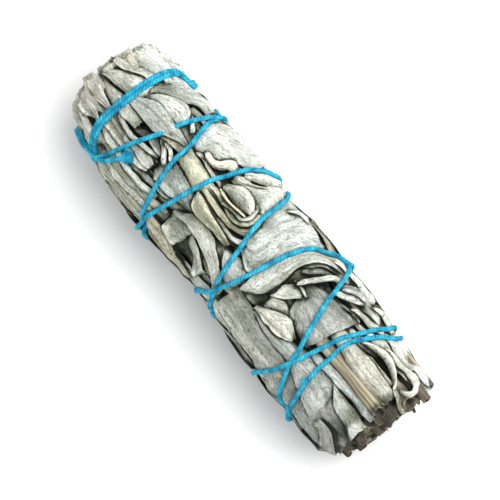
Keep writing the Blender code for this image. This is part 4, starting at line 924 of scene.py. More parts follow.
def ragged(grid, draw, amount):
    """Move the long edges and the ends of a grid of places in and out."""
    rows, columns = grid.shape[:2]
    share = across_shares(columns)[None, :, None]
    wave = soft_noise(draw, (rows, 2), (max(3, rows // 4), 1))
    fine = soft_noise(draw, (rows, 2), (max(4, rows // 2), 1))
    sides = (wave + 0.5 * fine) * amount
    across = unit(grid[:, -1:, :] - grid[:, :1, :], EDGE_TINY)
    push = np.where(share > 0, sides[:, 1:2, None] * share**3, sides[:, :1, None] * share**3)
    grid = grid + across * push
    course = unit(grid[-1] - grid[0], EDGE_TINY)
    jag = soft_noise(draw, (2, columns), (1, max(3, columns // 2))) * amount * 1.6
    along = np.linspace(0.0, 1.0, rows)[:, None, None]
    first = np.clip(1 - along * 8, 0, 1) * jag[0][None, :, None]
    last = np.clip(1 - (1 - along) * 8, 0, 1) * jag[1][None, :, None]
    return grid + course[None, :, :] * (first + last)


def lay_upper(rows_of_leaves, layers, draw):
    """Lay listed leaves, the lowest layer first."""
    laid = []
    for row in sorted(rows_of_leaves, key=lambda row: row[0]):
        kind, rise, tint, ends = row[1:5]
        if np.ndim(row[5]) == 0:
            one, two = strip_edges(row[6], row[5], "strip")
        else:
            one, two = row[5], row[6]
        grid, size = grid_between(one, two)
        grid = ragged(grid, draw, LISTED_EDGE)
        places = surface_place(grid[..., 0], grid[..., 1])
        if kind == "roll":
            laid.append(lay_roll(places, size, tint, layers, draw))
            continue
        laid.append(lay_sheet(places, size, kind, rise, tint, ends, layers, draw))
    return laid


def lay_roll(places, size, tint, layers, draw):
    """Lay a leaf that is rolled into a tube along its middle line."""
    stations, angles = places
    rows, columns = stations.shape
    middle = columns // 2
    half = size[1] / 2
    base = layers.look(stations, angles).max(axis=1)
    ride = draped(base[:, None], 30)[:, 0]
    turn = np.linspace(-0.9 * math.pi, 1.25 * math.pi, 17)[None, :]
    share = np.linspace(0.0, 1.0, 17)[None, :]
    along = np.linspace(0.0, 1.0, rows)[:, None]
    radius = half * (1.0 - 0.30 * share) * (1 + 0.10 * soft_noise(draw, (rows, 17), (max(2, rows // 5), 2)))
    radius = radius * (0.8 + 0.2 * np.minimum(1.0, np.minimum(along, 1 - along) * 8))
    lift = 0.72 * radius * (1 + np.cos(turn))
    across = np.stack((stations[:, -1] - stations[:, 0], (angles[:, -1] - angles[:, 0])), axis=1)
    across = across / size[1]
    spot_station = stations[:, middle : middle + 1] + across[:, :1] * radius * np.sin(turn)
    spot_angle = angles[:, middle : middle + 1] + across[:, 1:] * radius * np.sin(turn)
    height = ride[:, None] + SHEET + lift
    layers.cover(spot_station, spot_angle, height)
    return Leaf(spot_station, spot_angle, height, tint, size)


def lay_by_rule(layers, draw, row_count, a_row, first, last, widths, lengths, rises, tints, slant, steps,
                shift=0.0):
    """Lay rows of long leaves round a part of the bunch."""
    laid = []
    order = list(range(row_count))
    for number in range(a_row):
        draw.shuffle(order)
        for row in order:
            share = row / max(1, row_count - 1)
            middle_angle = first + (last - first) * share + shift + draw.uniform(-RULE_LEAN, RULE_LEAN)
            half = draw.uniform(*lengths) / 2
            station = LENGTH * (number + draw.uniform(0.15, 0.85)) / a_row
            start = max(RULE_SPAN[0] + draw.uniform(0, RULE_ENDS), station - half)
            end = min(RULE_SPAN[1] - draw.uniform(0, RULE_ENDS), station + half)
            if end - start < SHORTEST:
                continue
            lean = draw.uniform(-slant, slant)
            width = draw.uniform(*widths)
            around = AXIS_HEIGHT + 1.0
            bow = draw.uniform(-RULE_LEAN, RULE_LEAN)
            spine = (
                (start, (middle_angle - lean) * around),
                ((start + end) / 2, (middle_angle + bow) * around),
                (end, (middle_angle + lean) * around),
            )
            if draw.random() < 0.4:
                spine = spine[::-1]
            kind = SECTIONS[int(draw.integers(len(SECTIONS)))]
            one, two = strip_edges(spine, width, "lance" if draw.random() < 0.7 else "strip")
            grid, size = grid_between(one, two, steps)
            grid = ragged(grid, draw, RULE_EDGE)
            places = (grid[..., 0], grid[..., 1] / around)
            tint = tints[int(draw.integers(len(tints)))]
            rise = draw.uniform(*rises)
            laid.append(lay_sheet(places, size, kind, rise, tint, (0.6, 0.1), layers, draw, 1.3))
    return laid


def sink_hollows(layers, leaves):
    """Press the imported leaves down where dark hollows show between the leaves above."""
    grid = np.indices(layers.height.shape)
    stations = grid[0] * CELL - MARGIN
    angles = grid[1] / layers.columns * 2 * math.pi
    layers.height = layers.height - hollow_depth(stations, angles)
    for leaf in leaves:
        leaf.heights = leaf.heights - hollow_depth(leaf.stations, leaf.angles)


def hollow_depth(stations, angles):
    """How far places lie down in the listed hollows."""
    depth = np.zeros(stations.shape)
    for along, across, half_length, half_width, deep in HOLLOWS:
        station, angle = surface_place(along, across)
        turn = half_turns(angles - angle)
        gap = ((stations - station) / half_length) ** 2 + (turn * AXIS_HEIGHT / half_width) ** 2
        depth = np.maximum(depth, deep * np.exp(-(gap**1.5)))
    return depth


def end_leaves(draw):
    """The leaf ends that show inside both end faces, in rings."""
    laid = []
    stems = [(row[2], row[3], row[4]) for row in STEMS.values()]
    for tip_end in (True, False):
        for radius, count in END_RINGS:
            for number in range(count):
                angle = 2 * math.pi * (number + draw.uniform(-0.35, 0.35)) / count
                away = radius + draw.uniform(-0.5, 0.5)
                spot = (away * math.sin(angle), away * math.cos(angle))
                crowded = any(math.dist(spot, stem[:2]) < stem[2] + END_CLEAR for stem in stems)
                if crowded and not tip_end:
                    continue
                least, most, slope = TIP_INSET if tip_end else BUTT_INSET
                inset = draw.uniform(least, most) + slope * radius
                outer = inset if tip_end else BUTT_STATION - inset
                inner = outer + draw.uniform(*END_LENGTHS) * (1 if tip_end else -1)
                tints = TIP_TINTS if tip_end else BUTT_TINTS
                laid.append(end_leaf(inner, outer, angle, away, draw, tints))
    return laid


def end_leaf(inner, outer, angle, away, draw, tints):
    """A curled leaf end at its own distance from the axis."""
    rows, columns = 12, 11
    along = np.linspace(0.0, 1.0, rows)[:, None]
    share = across_shares(columns)[None, :]
    width = END_WIDTH * draw.uniform(0.7, 1.25)
    half = width / 2 / max(away, 2.2)
    turned = draw.uniform(-0.5, 0.5)
    stations = inner + (outer - inner) * along + 0 * share
    jag = soft_noise(draw, (2, columns), (1, 6))[0]
    stations = stations + np.clip(along * 6 - 5, 0, 1) * jag[None, :] * 0.4
    angles = angle + half * share * (0.7 + 0.3 * along) + 0.1 * turned * along
    curl = draw.uniform(-0.7, 1.0)
    swell = soft_noise(draw, (rows, columns), (4, 4)) * 0.45
    distance = away + turned * 1.6 * share + curl * (1 - share**2) * along + swell
    heights = distance - outline_radius(stations, angles)
    tint = tints[int(draw.integers(len(tints)))]
    return Leaf(stations, angles, heights, tint, (abs(outer - inner), width), True)


def widest(values, steps):
    """The greatest value close to each place of a grid, within steps down and across."""
    for axis, reach in enumerate(steps):
        padding = [(reach, reach) if side == axis else (0, 0) for side in (0, 1)]
        wide = np.pad(values, padding, mode="edge")
        count = values.shape[axis]
        shifted = [wide.take(range(shift, shift + count), axis=axis) for shift in range(2 * reach + 1)]
        values = np.max(shifted, axis=0)
    return values


def crowding(leaf, layers):
    """How much a leaf's places lie in the shade of leaves over or beside them, from 0 to 1."""
    if leaf.inside:
        return np.zeros(leaf.stations.shape)
    steps = (leaf.size[0] / leaf.stations.shape[0], leaf.size[1] / leaf.stations.shape[1])
    shade = np.zeros(leaf.stations.shape)
    for reach in (1, 2):
        own = widest(leaf.heights, [math.ceil((reach + 0.5) * CELL / step) for step in steps])
        cover = layers.look(leaf.stations, leaf.angles, reach) - own
        shade = shade + np.clip((cover - SHADE_FROM) / SHADE_FADE, 0.0, 1.0) / 2
    return shade


def valleys(heights):
    """Where a leaf's surface lies lower, to 1, or higher, to -1, than its surroundings."""
    wide = np.pad(heights, 2, mode="edge")
    rows, columns = heights.shape
    total = np.zeros(heights.shape)
    for down in range(5):
        for right in range(5):
            total = total + wide[down : down + rows, right : right + columns]
    return np.clip((total / 25 - heights) / FOLD_RELIEF, -1.0, 1.0)


def smoothed_level(layers, reach, blur):
    """The level of the outermost leaves round each place of the bunch, in the cells of the layers."""
    level = layers.height
    cells = round(reach / CELL)
    level = np.pad(level, ((cells, cells), (0, 0)), mode="edge")
    level = np.max([level[shift : shift + layers.rows] for shift in range(2 * cells + 1)], axis=0)
    level = np.max([np.roll(level, shift, axis=1) for shift in range(-cells, cells + 1)], axis=0)
    cells = round(blur / CELL)
    for _ in range(2):
        level = np.pad(level, ((cells, cells), (0, 0)), mode="edge")
        level = np.mean([level[shift : shift + layers.rows] for shift in range(2 * cells + 1)], axis=0)
        level = np.mean([np.roll(level, shift, axis=1) for shift in range(-cells, cells + 1)], axis=0)
    return level


def read_level(level, layers, stations, angles):
    """The level at places, between its cells."""
    row = np.clip((stations + MARGIN) / CELL, 0, layers.rows - 1.001)
    column = angles / (2 * math.pi) * layers.columns
    above, left = np.floor(row).astype(int), np.floor(column).astype(int)
    down, right = row - above, column - left
    left, beside = left % layers.columns, (left + 1) % layers.columns
    near = level[above, left] * (1 - right) + level[above, beside] * right
    far = level[above + 1, left] * (1 - right) + level[above + 1, beside] * right
    return near * (1 - down) + far * down


def level_out(layers, leaves):
    """Move the laid leaves in or out together, so that the outermost ones keep to the outline."""
    level = smoothed_level(layers, LEVEL_REACH, LEVEL_BLUR) - TOP_LEVEL
    for leaf in leaves:
        leaf.heights = leaf.heights - read_level(level, layers, leaf.stations, leaf.angles)
    layers.height = layers.height - level


def sheet_arrays(leaf, press, layers, depth_shade_level):
    """Corner points, faces and marks of a leaf as a closed sheet."""
    stations, angles = leaf.stations, leaf.angles
    reach, string_height = press.nearest(stations, angles)
    height = pressed(squeezed(leaf.heights), reach, string_height)
    upper = in_space(stations, angles, height, reach)
    rows, columns = stations.shape
    normal = unit(np.cross(np.gradient(upper, axis=0), np.gradient(upper, axis=1)))
    flip = (normal * outward(angles))[:, columns // 2].sum() < 0
    if flip:
        normal = -normal
    share = across_shares(columns)[None, :]
    thick = THICKNESS * (1 - EDGE_THINNING * np.abs(share) ** 5) * np.ones((rows, 1))
    lower = upper - normal * thick[..., None]
    count = rows * columns
    index = np.arange(count).reshape(rows, columns)
    corners = (index[:-1, :-1], index[:-1, 1:], index[1:, 1:], index[1:, :-1])
    quads = np.stack(corners, axis=-1).reshape(-1, 4)
    rim = np.concatenate((index[0, :], index[1:, -1], index[-1, -2::-1], index[-2:0:-1, 0]))
    after = np.roll(rim, -1)
    walls = np.stack((after, rim, rim + count, after + count), axis=-1)
    faces = np.vstack((quads, quads[:, ::-1] + count, walls))
    if not flip:
        faces = faces[:, ::-1]
    along = np.linspace(0.0, leaf.size[0], rows)[:, None] + 0 * share
    across = share * leaf.size[1] / 2 + 0 * along
    edge = np.abs(share) + 0 * along
    place = np.stack((along, across, edge), axis=-1).reshape(-1, 3)
    # Painted shade: leaf ends inside the end faces get an even shade, and the other leaves darken the further
    # they lie below the outermost leaves
    if leaf.inside:
        depth = np.full(count, END_DEPTH_SHADE)
    else:
        hull = read_level(depth_shade_level, layers, stations, angles)
        depth = np.clip((hull - DARK_FROM - leaf.heights) / DARK_DEPTH, 0.0, 1.0).ravel()
    points = np.vstack((upper.reshape(-1, 3), lower.reshape(-1, 3)))
    return points, faces, np.vstack((place, place)), np.tile(depth, 2)


def mesh_piece(name, points, faces, look):
    """A piece of the object from points in millimetres and faces."""
    mesh = bpy.data.meshes.new(name)
    mesh.from_pydata((points * MM).tolist(), [], faces.tolist() if hasattr(faces, "tolist") else faces)
    mesh.validate()
    mesh.shade_smooth()
    mesh.set_sharp_from_angle(angle=SHARP)
    mesh.materials.append(look)
    piece = placed(name, mesh)
    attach(piece, "root")
    return piece


def add_marks(mesh, name, kind, values):
    """Keep values on a mesh's points for its material."""
    marks = mesh.attributes.new(name, kind, "POINT")
    field = {"FLOAT": "value", "FLOAT_VECTOR": "vector", "FLOAT_COLOR": "color"}[kind]
    marks.data.foreach_set(field, np.asarray(values, np.float32).ravel())


def leaf_piece(name, leaves, press, look, draw, layers, depth_shade_level):
    """Many laid leaves as one piece."""
    points, faces, places, depth_shades, tints, shades, folds = [], [], [], [], [], [], []
    total = 0
    for leaf in leaves:
        corner, face, place, depth = sheet_arrays(leaf, press, layers, depth_shade_level)
        # Painted shade beside and under neighbouring leaves and in creases, with painted light on ridges
        shades.append(np.tile(crowding(leaf, layers).ravel(), 2))
        folds.append(np.tile(valleys(leaf.heights).ravel(), 2))
        shade = draw.uniform(*BRIGHTNESS)
        warm = draw.uniform(-WARMTH, WARMTH)
        tint = np.array(leaf.tint) * shade * np.array((1 + warm, 1.0, 1 - warm))
        points.append(corner)
        faces.append(face + total)
        place = place + np.array((draw.uniform(0, PATTERN_SHIFT), 0.0, 0.0))
        places.append(place)
        depth_shades.append(depth)
        tints.append(np.tile((*tint, 1.0), (len(corner), 1)))
        total += len(corner)
    piece = mesh_piece(name, np.vstack(points), np.vstack(faces), look)
    add_marks(piece.data, "leaf_place", "FLOAT_VECTOR", np.vstack(places))
    add_marks(piece.data, "leaf_depth", "FLOAT", np.concatenate(depth_shades))
    add_marks(piece.data, "leaf_shade", "FLOAT", np.concatenate(shades))
    add_marks(piece.data, "leaf_fold", "FLOAT", np.concatenate(folds))
    add_marks(piece.data, "leaf_tint", "FLOAT_COLOR", np.vstack(tints))
    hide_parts("leaf_bunch")
    return piece


def tube_faces(rows, sides, turned=False):
    """Faces of a closed tube of rings of points with both end caps, or the same turned over."""
    index = np.arange(rows * sides).reshape(rows, sides)
    around = np.roll(index, -1, axis=1)
    quads = np.stack((index[:-1], around[:-1], around[1:], index[1:]), axis=-1).reshape(-1, 4)
    caps = (index[0, ::-1], index[-1])
    if turned:
        quads = quads[:, [0, 3, 2, 1]]
        caps = (index[0], index[-1, ::-1])
    return quads.tolist() + [cap.tolist() for cap in caps]


def packed_middle(look):
    """The dark packed leaves in the middle, as a ribbed closed log, near-black with painted shade for the
    deep gaps.
    """
    rows, columns = 60, 96
    stations = np.linspace(13.0, 117.0, rows)[:, None] + np.zeros((1, columns))
    angles = np.linspace(0, 2 * math.pi, columns, endpoint=False)[None, :] + np.zeros((rows, 1))
    draw = np.random.default_rng(SEED + 5)
    ribs = 0.35 * np.sin(23 * angles + 0.08 * stations) + 0.3 * soft_noise(draw, (rows, columns), (20, 30))
    heights = DEEPEST - 0.7 + ribs
    points = in_space(stations, angles, heights).reshape(-1, 3)
    piece = mesh_piece("packed_leaves", points, tube_faces(rows, columns), look)
    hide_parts("leaf_bunch")


def string_rows(points):
    """Station and angle of listed points of the string."""
    seen = np.array(points, dtype=float)
    station, angle = surface_place(seen[:, 0], seen[:, 1])
    return np.stack((station, angle), axis=1)


def string_turns():
    """The turns of the string in the order of winding."""
    second = tuple((along + SECOND_TURN_SHIFT, across) for along, across in FIRST_TURN)
    turns = {"a": FIRST_TURN, "a2": second, "b": TURN_B, "d": TURN_D, "f": TURN_F, "h": TURN_H}
    turns.update({"i": TURN_I, "g": TURN_G, "e": TURN_E, "c": TURN_C})
    names = list(turns)
    routes = {}
    for number, name in enumerate(names):
        rows = string_rows(turns[name])
        if name in ("a", "a2", "c"):
            ends = string_rows((LAST_RETURN, KNOT))
        else:
            ends = string_rows((turns[names[number + 1]][0],))
        shift = SECOND_TURN_SHIFT if name == "a2" else 0.0
        goal = ends[0] + np.array((shift, 2 * math.pi))
        shares = np.linspace(0.0, 1.0, 8)[1:, None]
        back = rows[-1] + (goal - rows[-1]) * shares
        rows = np.vstack((rows, back))
        if len(ends) > 1:
            rows = np.vstack((rows, ends[1] + np.array((shift, 2 * math.pi))))
        count = round(line_length(rows * AROUND) / STRING_STEP)
        routes[name] = smooth_line(rows * AROUND, count) / AROUND
    return routes


def covered_part(route):
    """Which points of a turn lie under the lance leaf."""
    first, last = string_rows(COVERED_SPAN)
    turn = half_turns(route[:, 1])
    return (turn > first[1]) & (turn < last[1])


def near_rows(row, rows):
    """Whether a point of the string lies among others."""
    turn = half_turns(rows[:, 1] - row[1])
    return bool((np.hypot(rows[:, 0] - row[0], turn * AXIS_HEIGHT) < STRING_STEP).any())


def cover_string(layers, rows, heights):
    """Mark a part of the string as something that leaves lie over."""
    for offset in np.linspace(-STRING_RADIUS, STRING_RADIUS, 5):
        tops = heights + math.sqrt(max(STRING_RADIUS**2 - offset**2, 0.0))
        layers.lift(rows[:, 0] + offset, rows[:, 1], tops)


def spread_mean(values, reach):
    """Running mean of a row of values."""
    kernel = np.hanning(2 * reach + 3)[1:-1]
    kernel = kernel / kernel.sum()
    return np.convolve(np.pad(values, reach, mode="edge"), kernel, mode="valid")


def spread_max(values, reach):
    """Running maximum of a row of values."""
    wide = np.pad(values, reach, mode="edge")
    return np.max([wide[shift : shift + len(values)] for shift in range(2 * reach + 1)], axis=0)


def settle_string(routes, layers):
    """Heights of the string's middle along every turn, the upper ones over the lower ones."""
    strings = Layers(-50.0)
    heights = {}
    crossings = []
    for name in ("a", "a2", "g", "e", "c", "b", "d", "f", "h", "i"):
        route = routes[name]
        below = squeezed(layers.look(route[:, 0], route[:, 1]))
        rest = spread_mean(spread_max(below, 2), 8) - STRING_SINK + STRING_RADIUS
        crossed = strings.look(route[:, 0], route[:, 1], 1) + STRING_RADIUS * CROSSING_SHARE
        hump = np.maximum(crossed - rest, 0.0)
        # The second strand at the tip end lies beside the first, not over it
        if name == "a2":
            hump = 0 * hump
        reach = np.arange(len(rest))[:, None] - np.arange(len(rest))[None, :]
        humps = hump[None, :] * np.exp(-((reach * STRING_STEP / HUMP_REACH) ** 2))
        height = rest + humps.max(axis=1) / 2
        peak = int(np.argmax(hump))
        if hump[peak] > LEAST_HUMP:
            crossings.append((name, route[peak, 0], route[peak, 1], hump[peak] / 2))
        if name == "b":
            height = height - LANCE_PRESS * spread_mean(covered_part(route).astype(float), 4)
        floor = (AXIS_HEIGHT - STRING_RADIUS - STRING_CLEAR) / np.maximum(-np.cos(route[:, 1]), 1e-3)
        floor = floor - outline_radius(route[:, 0], route[:, 1]) + PINCH
        height = np.where(np.cos(route[:, 1]) < -0.05, np.minimum(height, floor), height)
        heights[name] = height
        for offset in np.linspace(-STRING_RADIUS, STRING_RADIUS, 5):
            strings.lift(route[:, 0] + offset, route[:, 1], height + STRING_RADIUS)
    for upper, station, angle, sink in crossings:
        for name, route in routes.items():
            if name == upper:
                continue
            turn = half_turns(route[:, 1] - angle)
            gap = (route[:, 0] - station) ** 2 + (turn * AXIS_HEIGHT) ** 2
            heights[name] = heights[name] - sink * np.exp(-gap / HUMP_REACH**2)
    return heights


def whole_string(routes, heights):
    """One line of station, angle and height through all the turns."""
    rows = []
    turn = 0.0
    for name in routes:
        route = np.column_stack((routes[name], heights[name]))
        route[:, 1] += turn
        if rows:
            route = route[1:]
        rows.append(route)
        turn += 2 * math.pi
    line = np.vstack(rows)
    line[:, 2] = spread_mean(line[:, 2], 3)
    line[:, 0] = spread_mean(line[:, 0], 2)
    line[:, 1] = spread_mean(line[:, 1], 2)
    return line


def twisted_tube(points, up, radius, depth=STRAND_DEPTH, sides=STRING_SIDES, taper=None):
    """Points, faces and ply marks of a string of several strands along points in space."""
    course = unit(np.gradient(points, axis=0))
    side = unit(np.cross(course, up))
    over = np.cross(side, course)
    gaps = np.linalg.norm(np.diff(points, axis=0), axis=1)
    along = np.concatenate(((0.0,), np.cumsum(gaps)))[:, None]
    turn = np.linspace(0, 2 * math.pi, sides, endpoint=False)[None, :]
    twist = 2 * math.pi * along / STRAND_TURN
    lobes = np.abs(np.cos((turn - twist) * STRANDS / 2)) ** STRAND_ROUNDNESS
    away = radius * (1 - depth + depth * STRAND_CROWN * lobes)
    if taper is not None:
        away = away * taper[:, None]
    ring = points[:, None, :] + side[:, None, :] * (away * np.cos(turn))[..., None]
    ring = ring + over[:, None, :] * (away * np.sin(turn))[..., None]
    return ring.reshape(-1, 3), tube_faces(len(points), sides, turned=True), lobes.ravel()


def fibre_tube(root, aim, bow, up, rows, sides, radius, taper):
    """A thin tapered fibre that leaves its root along one direction and bows along another."""
    share = np.linspace(0, 1, rows)[:, None]
    radii = radius * (1 - taper * share[:, 0])
    points = root + aim * share + bow * share**2
    return twisted_tube(points, np.tile(up, (rows, 1)), 1.0, 0.0, sides, radii)


def joined(tubes):
    """Points and faces of several tubes as one set."""
    faces = []
    total = 0
    for points, walls, _ in tubes:
        faces.extend([[corner + total for corner in face] for face in walls])
        total += len(points)
    return np.vstack([tube[0] for tube in tubes]), faces


def string_part(name, tube, look):
    """A piece of string from a tube's points, faces and ply marks."""
    points, faces, plies = tube
    piece = mesh_piece(name, points, faces, look)
    add_marks(piece.data, "ply", "FLOAT", plies)
    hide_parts("binding_string")
    return piece


class Look:
    """A material with one shader, and short ways to add nodes and join them."""

    def __init__(self, name, **settings):
        self.material = bpy.data.materials.new(name)
        self.material.use_nodes = True
        self.tree = self.material.node_tree
        self.shader = self.tree.nodes["Principled BSDF"]
        for socket, value in settings.items():
            self.feed(self.shader.inputs[socket.replace("_", " ")], value)

    def feed(self, socket, value):
        """Link a socket to a node's output, or set it to a value."""
        if isinstance(value, bpy.types.NodeSocket):
            self.tree.links.new(value, socket)
        else:
            socket.default_value = value

    def node(self, kind, inputs, **settings):
        """A new node with its settings and what goes into its sockets."""
        made = self.tree.nodes.new("ShaderNode" + kind)
        for name, value in settings.items():
            setattr(made, name, value)
        for name, value in inputs.items():
            self.feed(made.inputs[name], value)
        return made

    def place(self):
        """The place in the object's own space."""
        return self.node("TexCoord", {}).outputs["Object"]

    def mark(self, name, output="Fac"):
        """A value that is kept on the mesh's points."""
        return self.node("Attribute", {}, attribute_name=name).outputs[output]

    def mapped(self, vector, scale, turn=0.0):
        """A place stretched by scales and turned in its plane."""
        settings = {"Vector": vector, "Scale": scale, "Rotation": (0.0, 0.0, turn)}
        return self.node("Mapping", settings).outputs[0]

    def noise(self, vector, scale, detail=2.0, rough=0.5):
        """Noise from 0 to 1 at a place."""
        settings = {"Vector": vector, "Scale": scale, "Detail": detail, "Roughness": rough}
        return self.node("TexNoise", settings).outputs["Fac"]

    def ramp(self, value, first, last):
        """A colour between two colours, each given with the value where it is reached."""
        made = self.node("ValToRGB", {"Fac": value})
        for element, (position, colour) in zip(made.color_ramp.elements, (first, last)):
            element.position = position
            element.color = (*colour, 1.0)
        return made.outputs["Color"]

    def maths(self, operation, one, two=None, clamp=False):
        """The result of a sum of one or two values."""
        made = self.node("Math", {0: one}, operation=operation, use_clamp=clamp)
        if two is not None:
            self.feed(made.inputs[1], two)
        return made.outputs[0]

    def times(self, one, two):
        """A product."""
        return self.maths("MULTIPLY", one, two)

    def about(self, value, strength):
        """A value from 0 to 1 moved to lie about nothing, with a strength."""
        return self.times(self.maths("SUBTRACT", value, 0.5), strength)

    def dimmed(self, value, cause, strength):
        """A value made less where a cause is near 1."""
        return self.times(value, self.maths("SUBTRACT", 1.0, self.times(cause, strength)))

    def scaled(self, colour, value):
        """A colour times a value."""
        return self.node("VectorMath", {0: colour, "Scale": value}, operation="SCALE").outputs[0]

    def colour(self, value):
        """Give the shader its colour."""
        self.feed(self.shader.inputs["Base Color"], value)

    def bump(self, height, strength, distance):
        """Give the shader a fine relief."""
        settings = {"Height": height, "Strength": strength, "Distance": distance}
        self.feed(self.shader.inputs["Normal"], self.node("Bump", settings).outputs["Normal"])


def string_material():
    """Twisted cotton, dyed turquoise, with painted shade in the grooves between the strands and painted light
    on their crowns.
    """
    look = Look("blue_cotton", Roughness=0.85, Specular_IOR_Level=0.15)
    place = look.place()
    dye = look.ramp(look.noise(place, STRING_MOTTLE, 5.0), (0.3, STRING_DARK), (0.72, STRING_LIGHT))
    # Painted shade in the grooves between the strands, and painted light on their crowns
    groove = look.node("MapRange", {"Value": look.mark("ply"), "To Min": 0.34, "To Max": 1.14})
    look.colour(look.scaled(dye, groove.outputs["Result"]))
    look.bump(look.noise(place, STRING_FIBRES, 3.0), 0.5, 0.00012)
    return look.material


def cracks(look, place):
    """Thin wavy lines along a leaf, as level lines of a stretched noise."""
    waves = look.noise(look.mapped(place, (0.075, 0.62, 0.0), 0.12), 1.0)
    lines = None
    for level, width in CRACK_LEVELS:
        away = look.maths("ABSOLUTE", look.maths("SUBTRACT", waves, level))
        line = look.maths("SUBTRACT", 1.0, look.maths("DIVIDE", away, width), True)
        lines = line if lines is None else look.maths("MAXIMUM", lines, line)
    return lines


def side_veins(look, along, side, blotches):
    """Veins that run from the midrib to the edge."""
    slope = look.maths("SUBTRACT", along, look.times(side, VEIN_SLOPE))
    wobble = look.maths("ADD", slope, look.times(blotches, VEIN_WOBBLE))
    veins = look.maths("SINE", look.times(wobble, VEIN_RATE))
    return look.maths("POWER", look.times(look.maths("ADD", veins, 1.0), 0.5), VEIN_FINENESS)


def leaf_material():
    """Felted dry sage leaf: its own colour, midrib, side veins and felt, with painted shade in its cracks, at
    its edges and among its neighbours.
    """
    look = Look("dried_sage_leaf", Roughness=0.86, Sheen_Weight=0.06, Sheen_Roughness=0.6,
                Specular_IOR_Level=0.15)
    place = look.mark("leaf_place", "Vector")
    along, across, edge = look.node("SeparateXYZ", {0: place}).outputs
    coords = look.place()
    streaks = look.noise(look.mapped(place, (0.10, 1.0, 0.0)), 3.0, 6.0, 0.68)
    lines = cracks(look, place)
    blotches = look.noise(coords, LEAF_BLOTCHES, 3.0, 0.55)
    speckle = look.noise(coords, LEAF_SPECKLE, 3.0, 0.6)
    felt = look.noise(coords, LEAF_FELT, 4.0, 0.65)
    side = look.maths("ABSOLUTE", across)
    rib = look.maths("SUBTRACT", 1.0, look.times(side, RIB_NARROWNESS), True)
    veins = side_veins(look, along, side, blotches)
    fine = look.maths("ADD", look.about(felt, 0.5), look.about(speckle, 0.85))
    # Painted shade along the thin cracks, which the bump also cuts in
    fine = look.maths("SUBTRACT", fine, look.times(lines, 0.55))
    coarse = look.maths("ADD", look.about(blotches, 0.42), fine)
    value = look.maths("ADD", 1.0, look.maths("ADD", look.about(streaks, 1.15), coarse))
    value = look.maths("ADD", value, look.times(rib, 0.08))
    value = look.maths("SUBTRACT", value, look.times(veins, 0.14))
    # Painted shade: a dark outline along the leaf's rims
    rim = look.maths("MULTIPLY", look.maths("SUBTRACT", edge, DARK_RIM, True), 5.0, True)
    value = look.dimmed(value, rim, 0.9)
    # Painted shade below the outermost leaves, beside and under neighbouring leaves and in creases, and
    # painted light on ridges
    for mark, strength in (("leaf_depth", 0.78), ("leaf_shade", 0.93), ("leaf_fold", 0.22)):
        value = look.dimmed(value, look.mark(mark), strength)
    # A painted olive cast that grows as the painted value darkens
    gloom = look.maths("SUBTRACT", 1.0, value, True)
    settings = {0: look.times(gloom, gloom), 1: GLOOM_CAST, 2: (1.0, 1.0, 1.0)}
    cast = look.node("VectorMath", settings, operation="MULTIPLY_ADD").outputs[0]
    tint = look.scaled(look.mark("leaf_tint", "Color"), value)
    look.colour(look.node("VectorMath", {0: tint, 1: cast}, operation="MULTIPLY").outputs[0])
    relief = look.maths("ADD", look.times(felt, 0.30), look.times(streaks, 0.75))
    relief = look.maths("ADD", relief, look.times(veins, -0.22))
    relief = look.maths("SUBTRACT", relief, look.times(lines, 0.8))
    relief = look.maths("ADD", relief, look.times(rib, 0.25))
    look.bump(relief, 0.7, 0.0003)
    return look.material


def plain_material(name, colour, roughness):
    """A material of one colour with a little mottling."""
    look = Look(name, Roughness=roughness)
    darker = [0.6 * part for part in colour]
    lighter = [1.3 * part for part in colour]
    look.colour(look.ramp(look.noise(look.place(), 600.0), (0.0, darker), (1.0, lighter)))
    return look.material


def stem_material():
    """Dry bark with streaks along the stem, and a brown cut face, with weathering and painted shade darkening
    the cut end.
    """
    look = Look("dried_stem", Roughness=0.78)
    streaks = look.noise(look.mapped(look.place(), (0.08, 1.0, 1.0)), 900.0, 4.0)
    bark = look.ramp(streaks, (0.38, BARK_DARK), (0.64, BARK_LIGHT))
    worn_shaded = look.ramp(streaks, (0.36, CUT_DARK), (0.66, CUT_LIGHT))
    mix = look.node("Mix", {}, data_type="RGBA")
    for socket, value in (("Factor", look.mark("cut_face")), ("A", bark), ("B", worn_shaded)):
        look.feed(mix.inputs[socket], value)
    look.colour(mix.outputs["Result"])
    look.bump(streaks, 0.6, 0.00025)
    return look.material


def stem_end(rings, outer, centre, jag):
    """Add the rings of a cut end, from the bark inwards, and give their cut marks."""
    marks = []
    bark = rings[-1]
    for share, push, mark in STEM_END:
        ring = bark.copy()
        ring[:, 1:] = centre + (ring[:, 1:] - centre) * share
        ring[:, 0] = outer + push - STEM_DISH * (1 - share) + jag.mean() + (jag - jag.mean()) * share
        rings.append(ring)
        marks.extend([mark] * STEM_SIDES)
    return marks


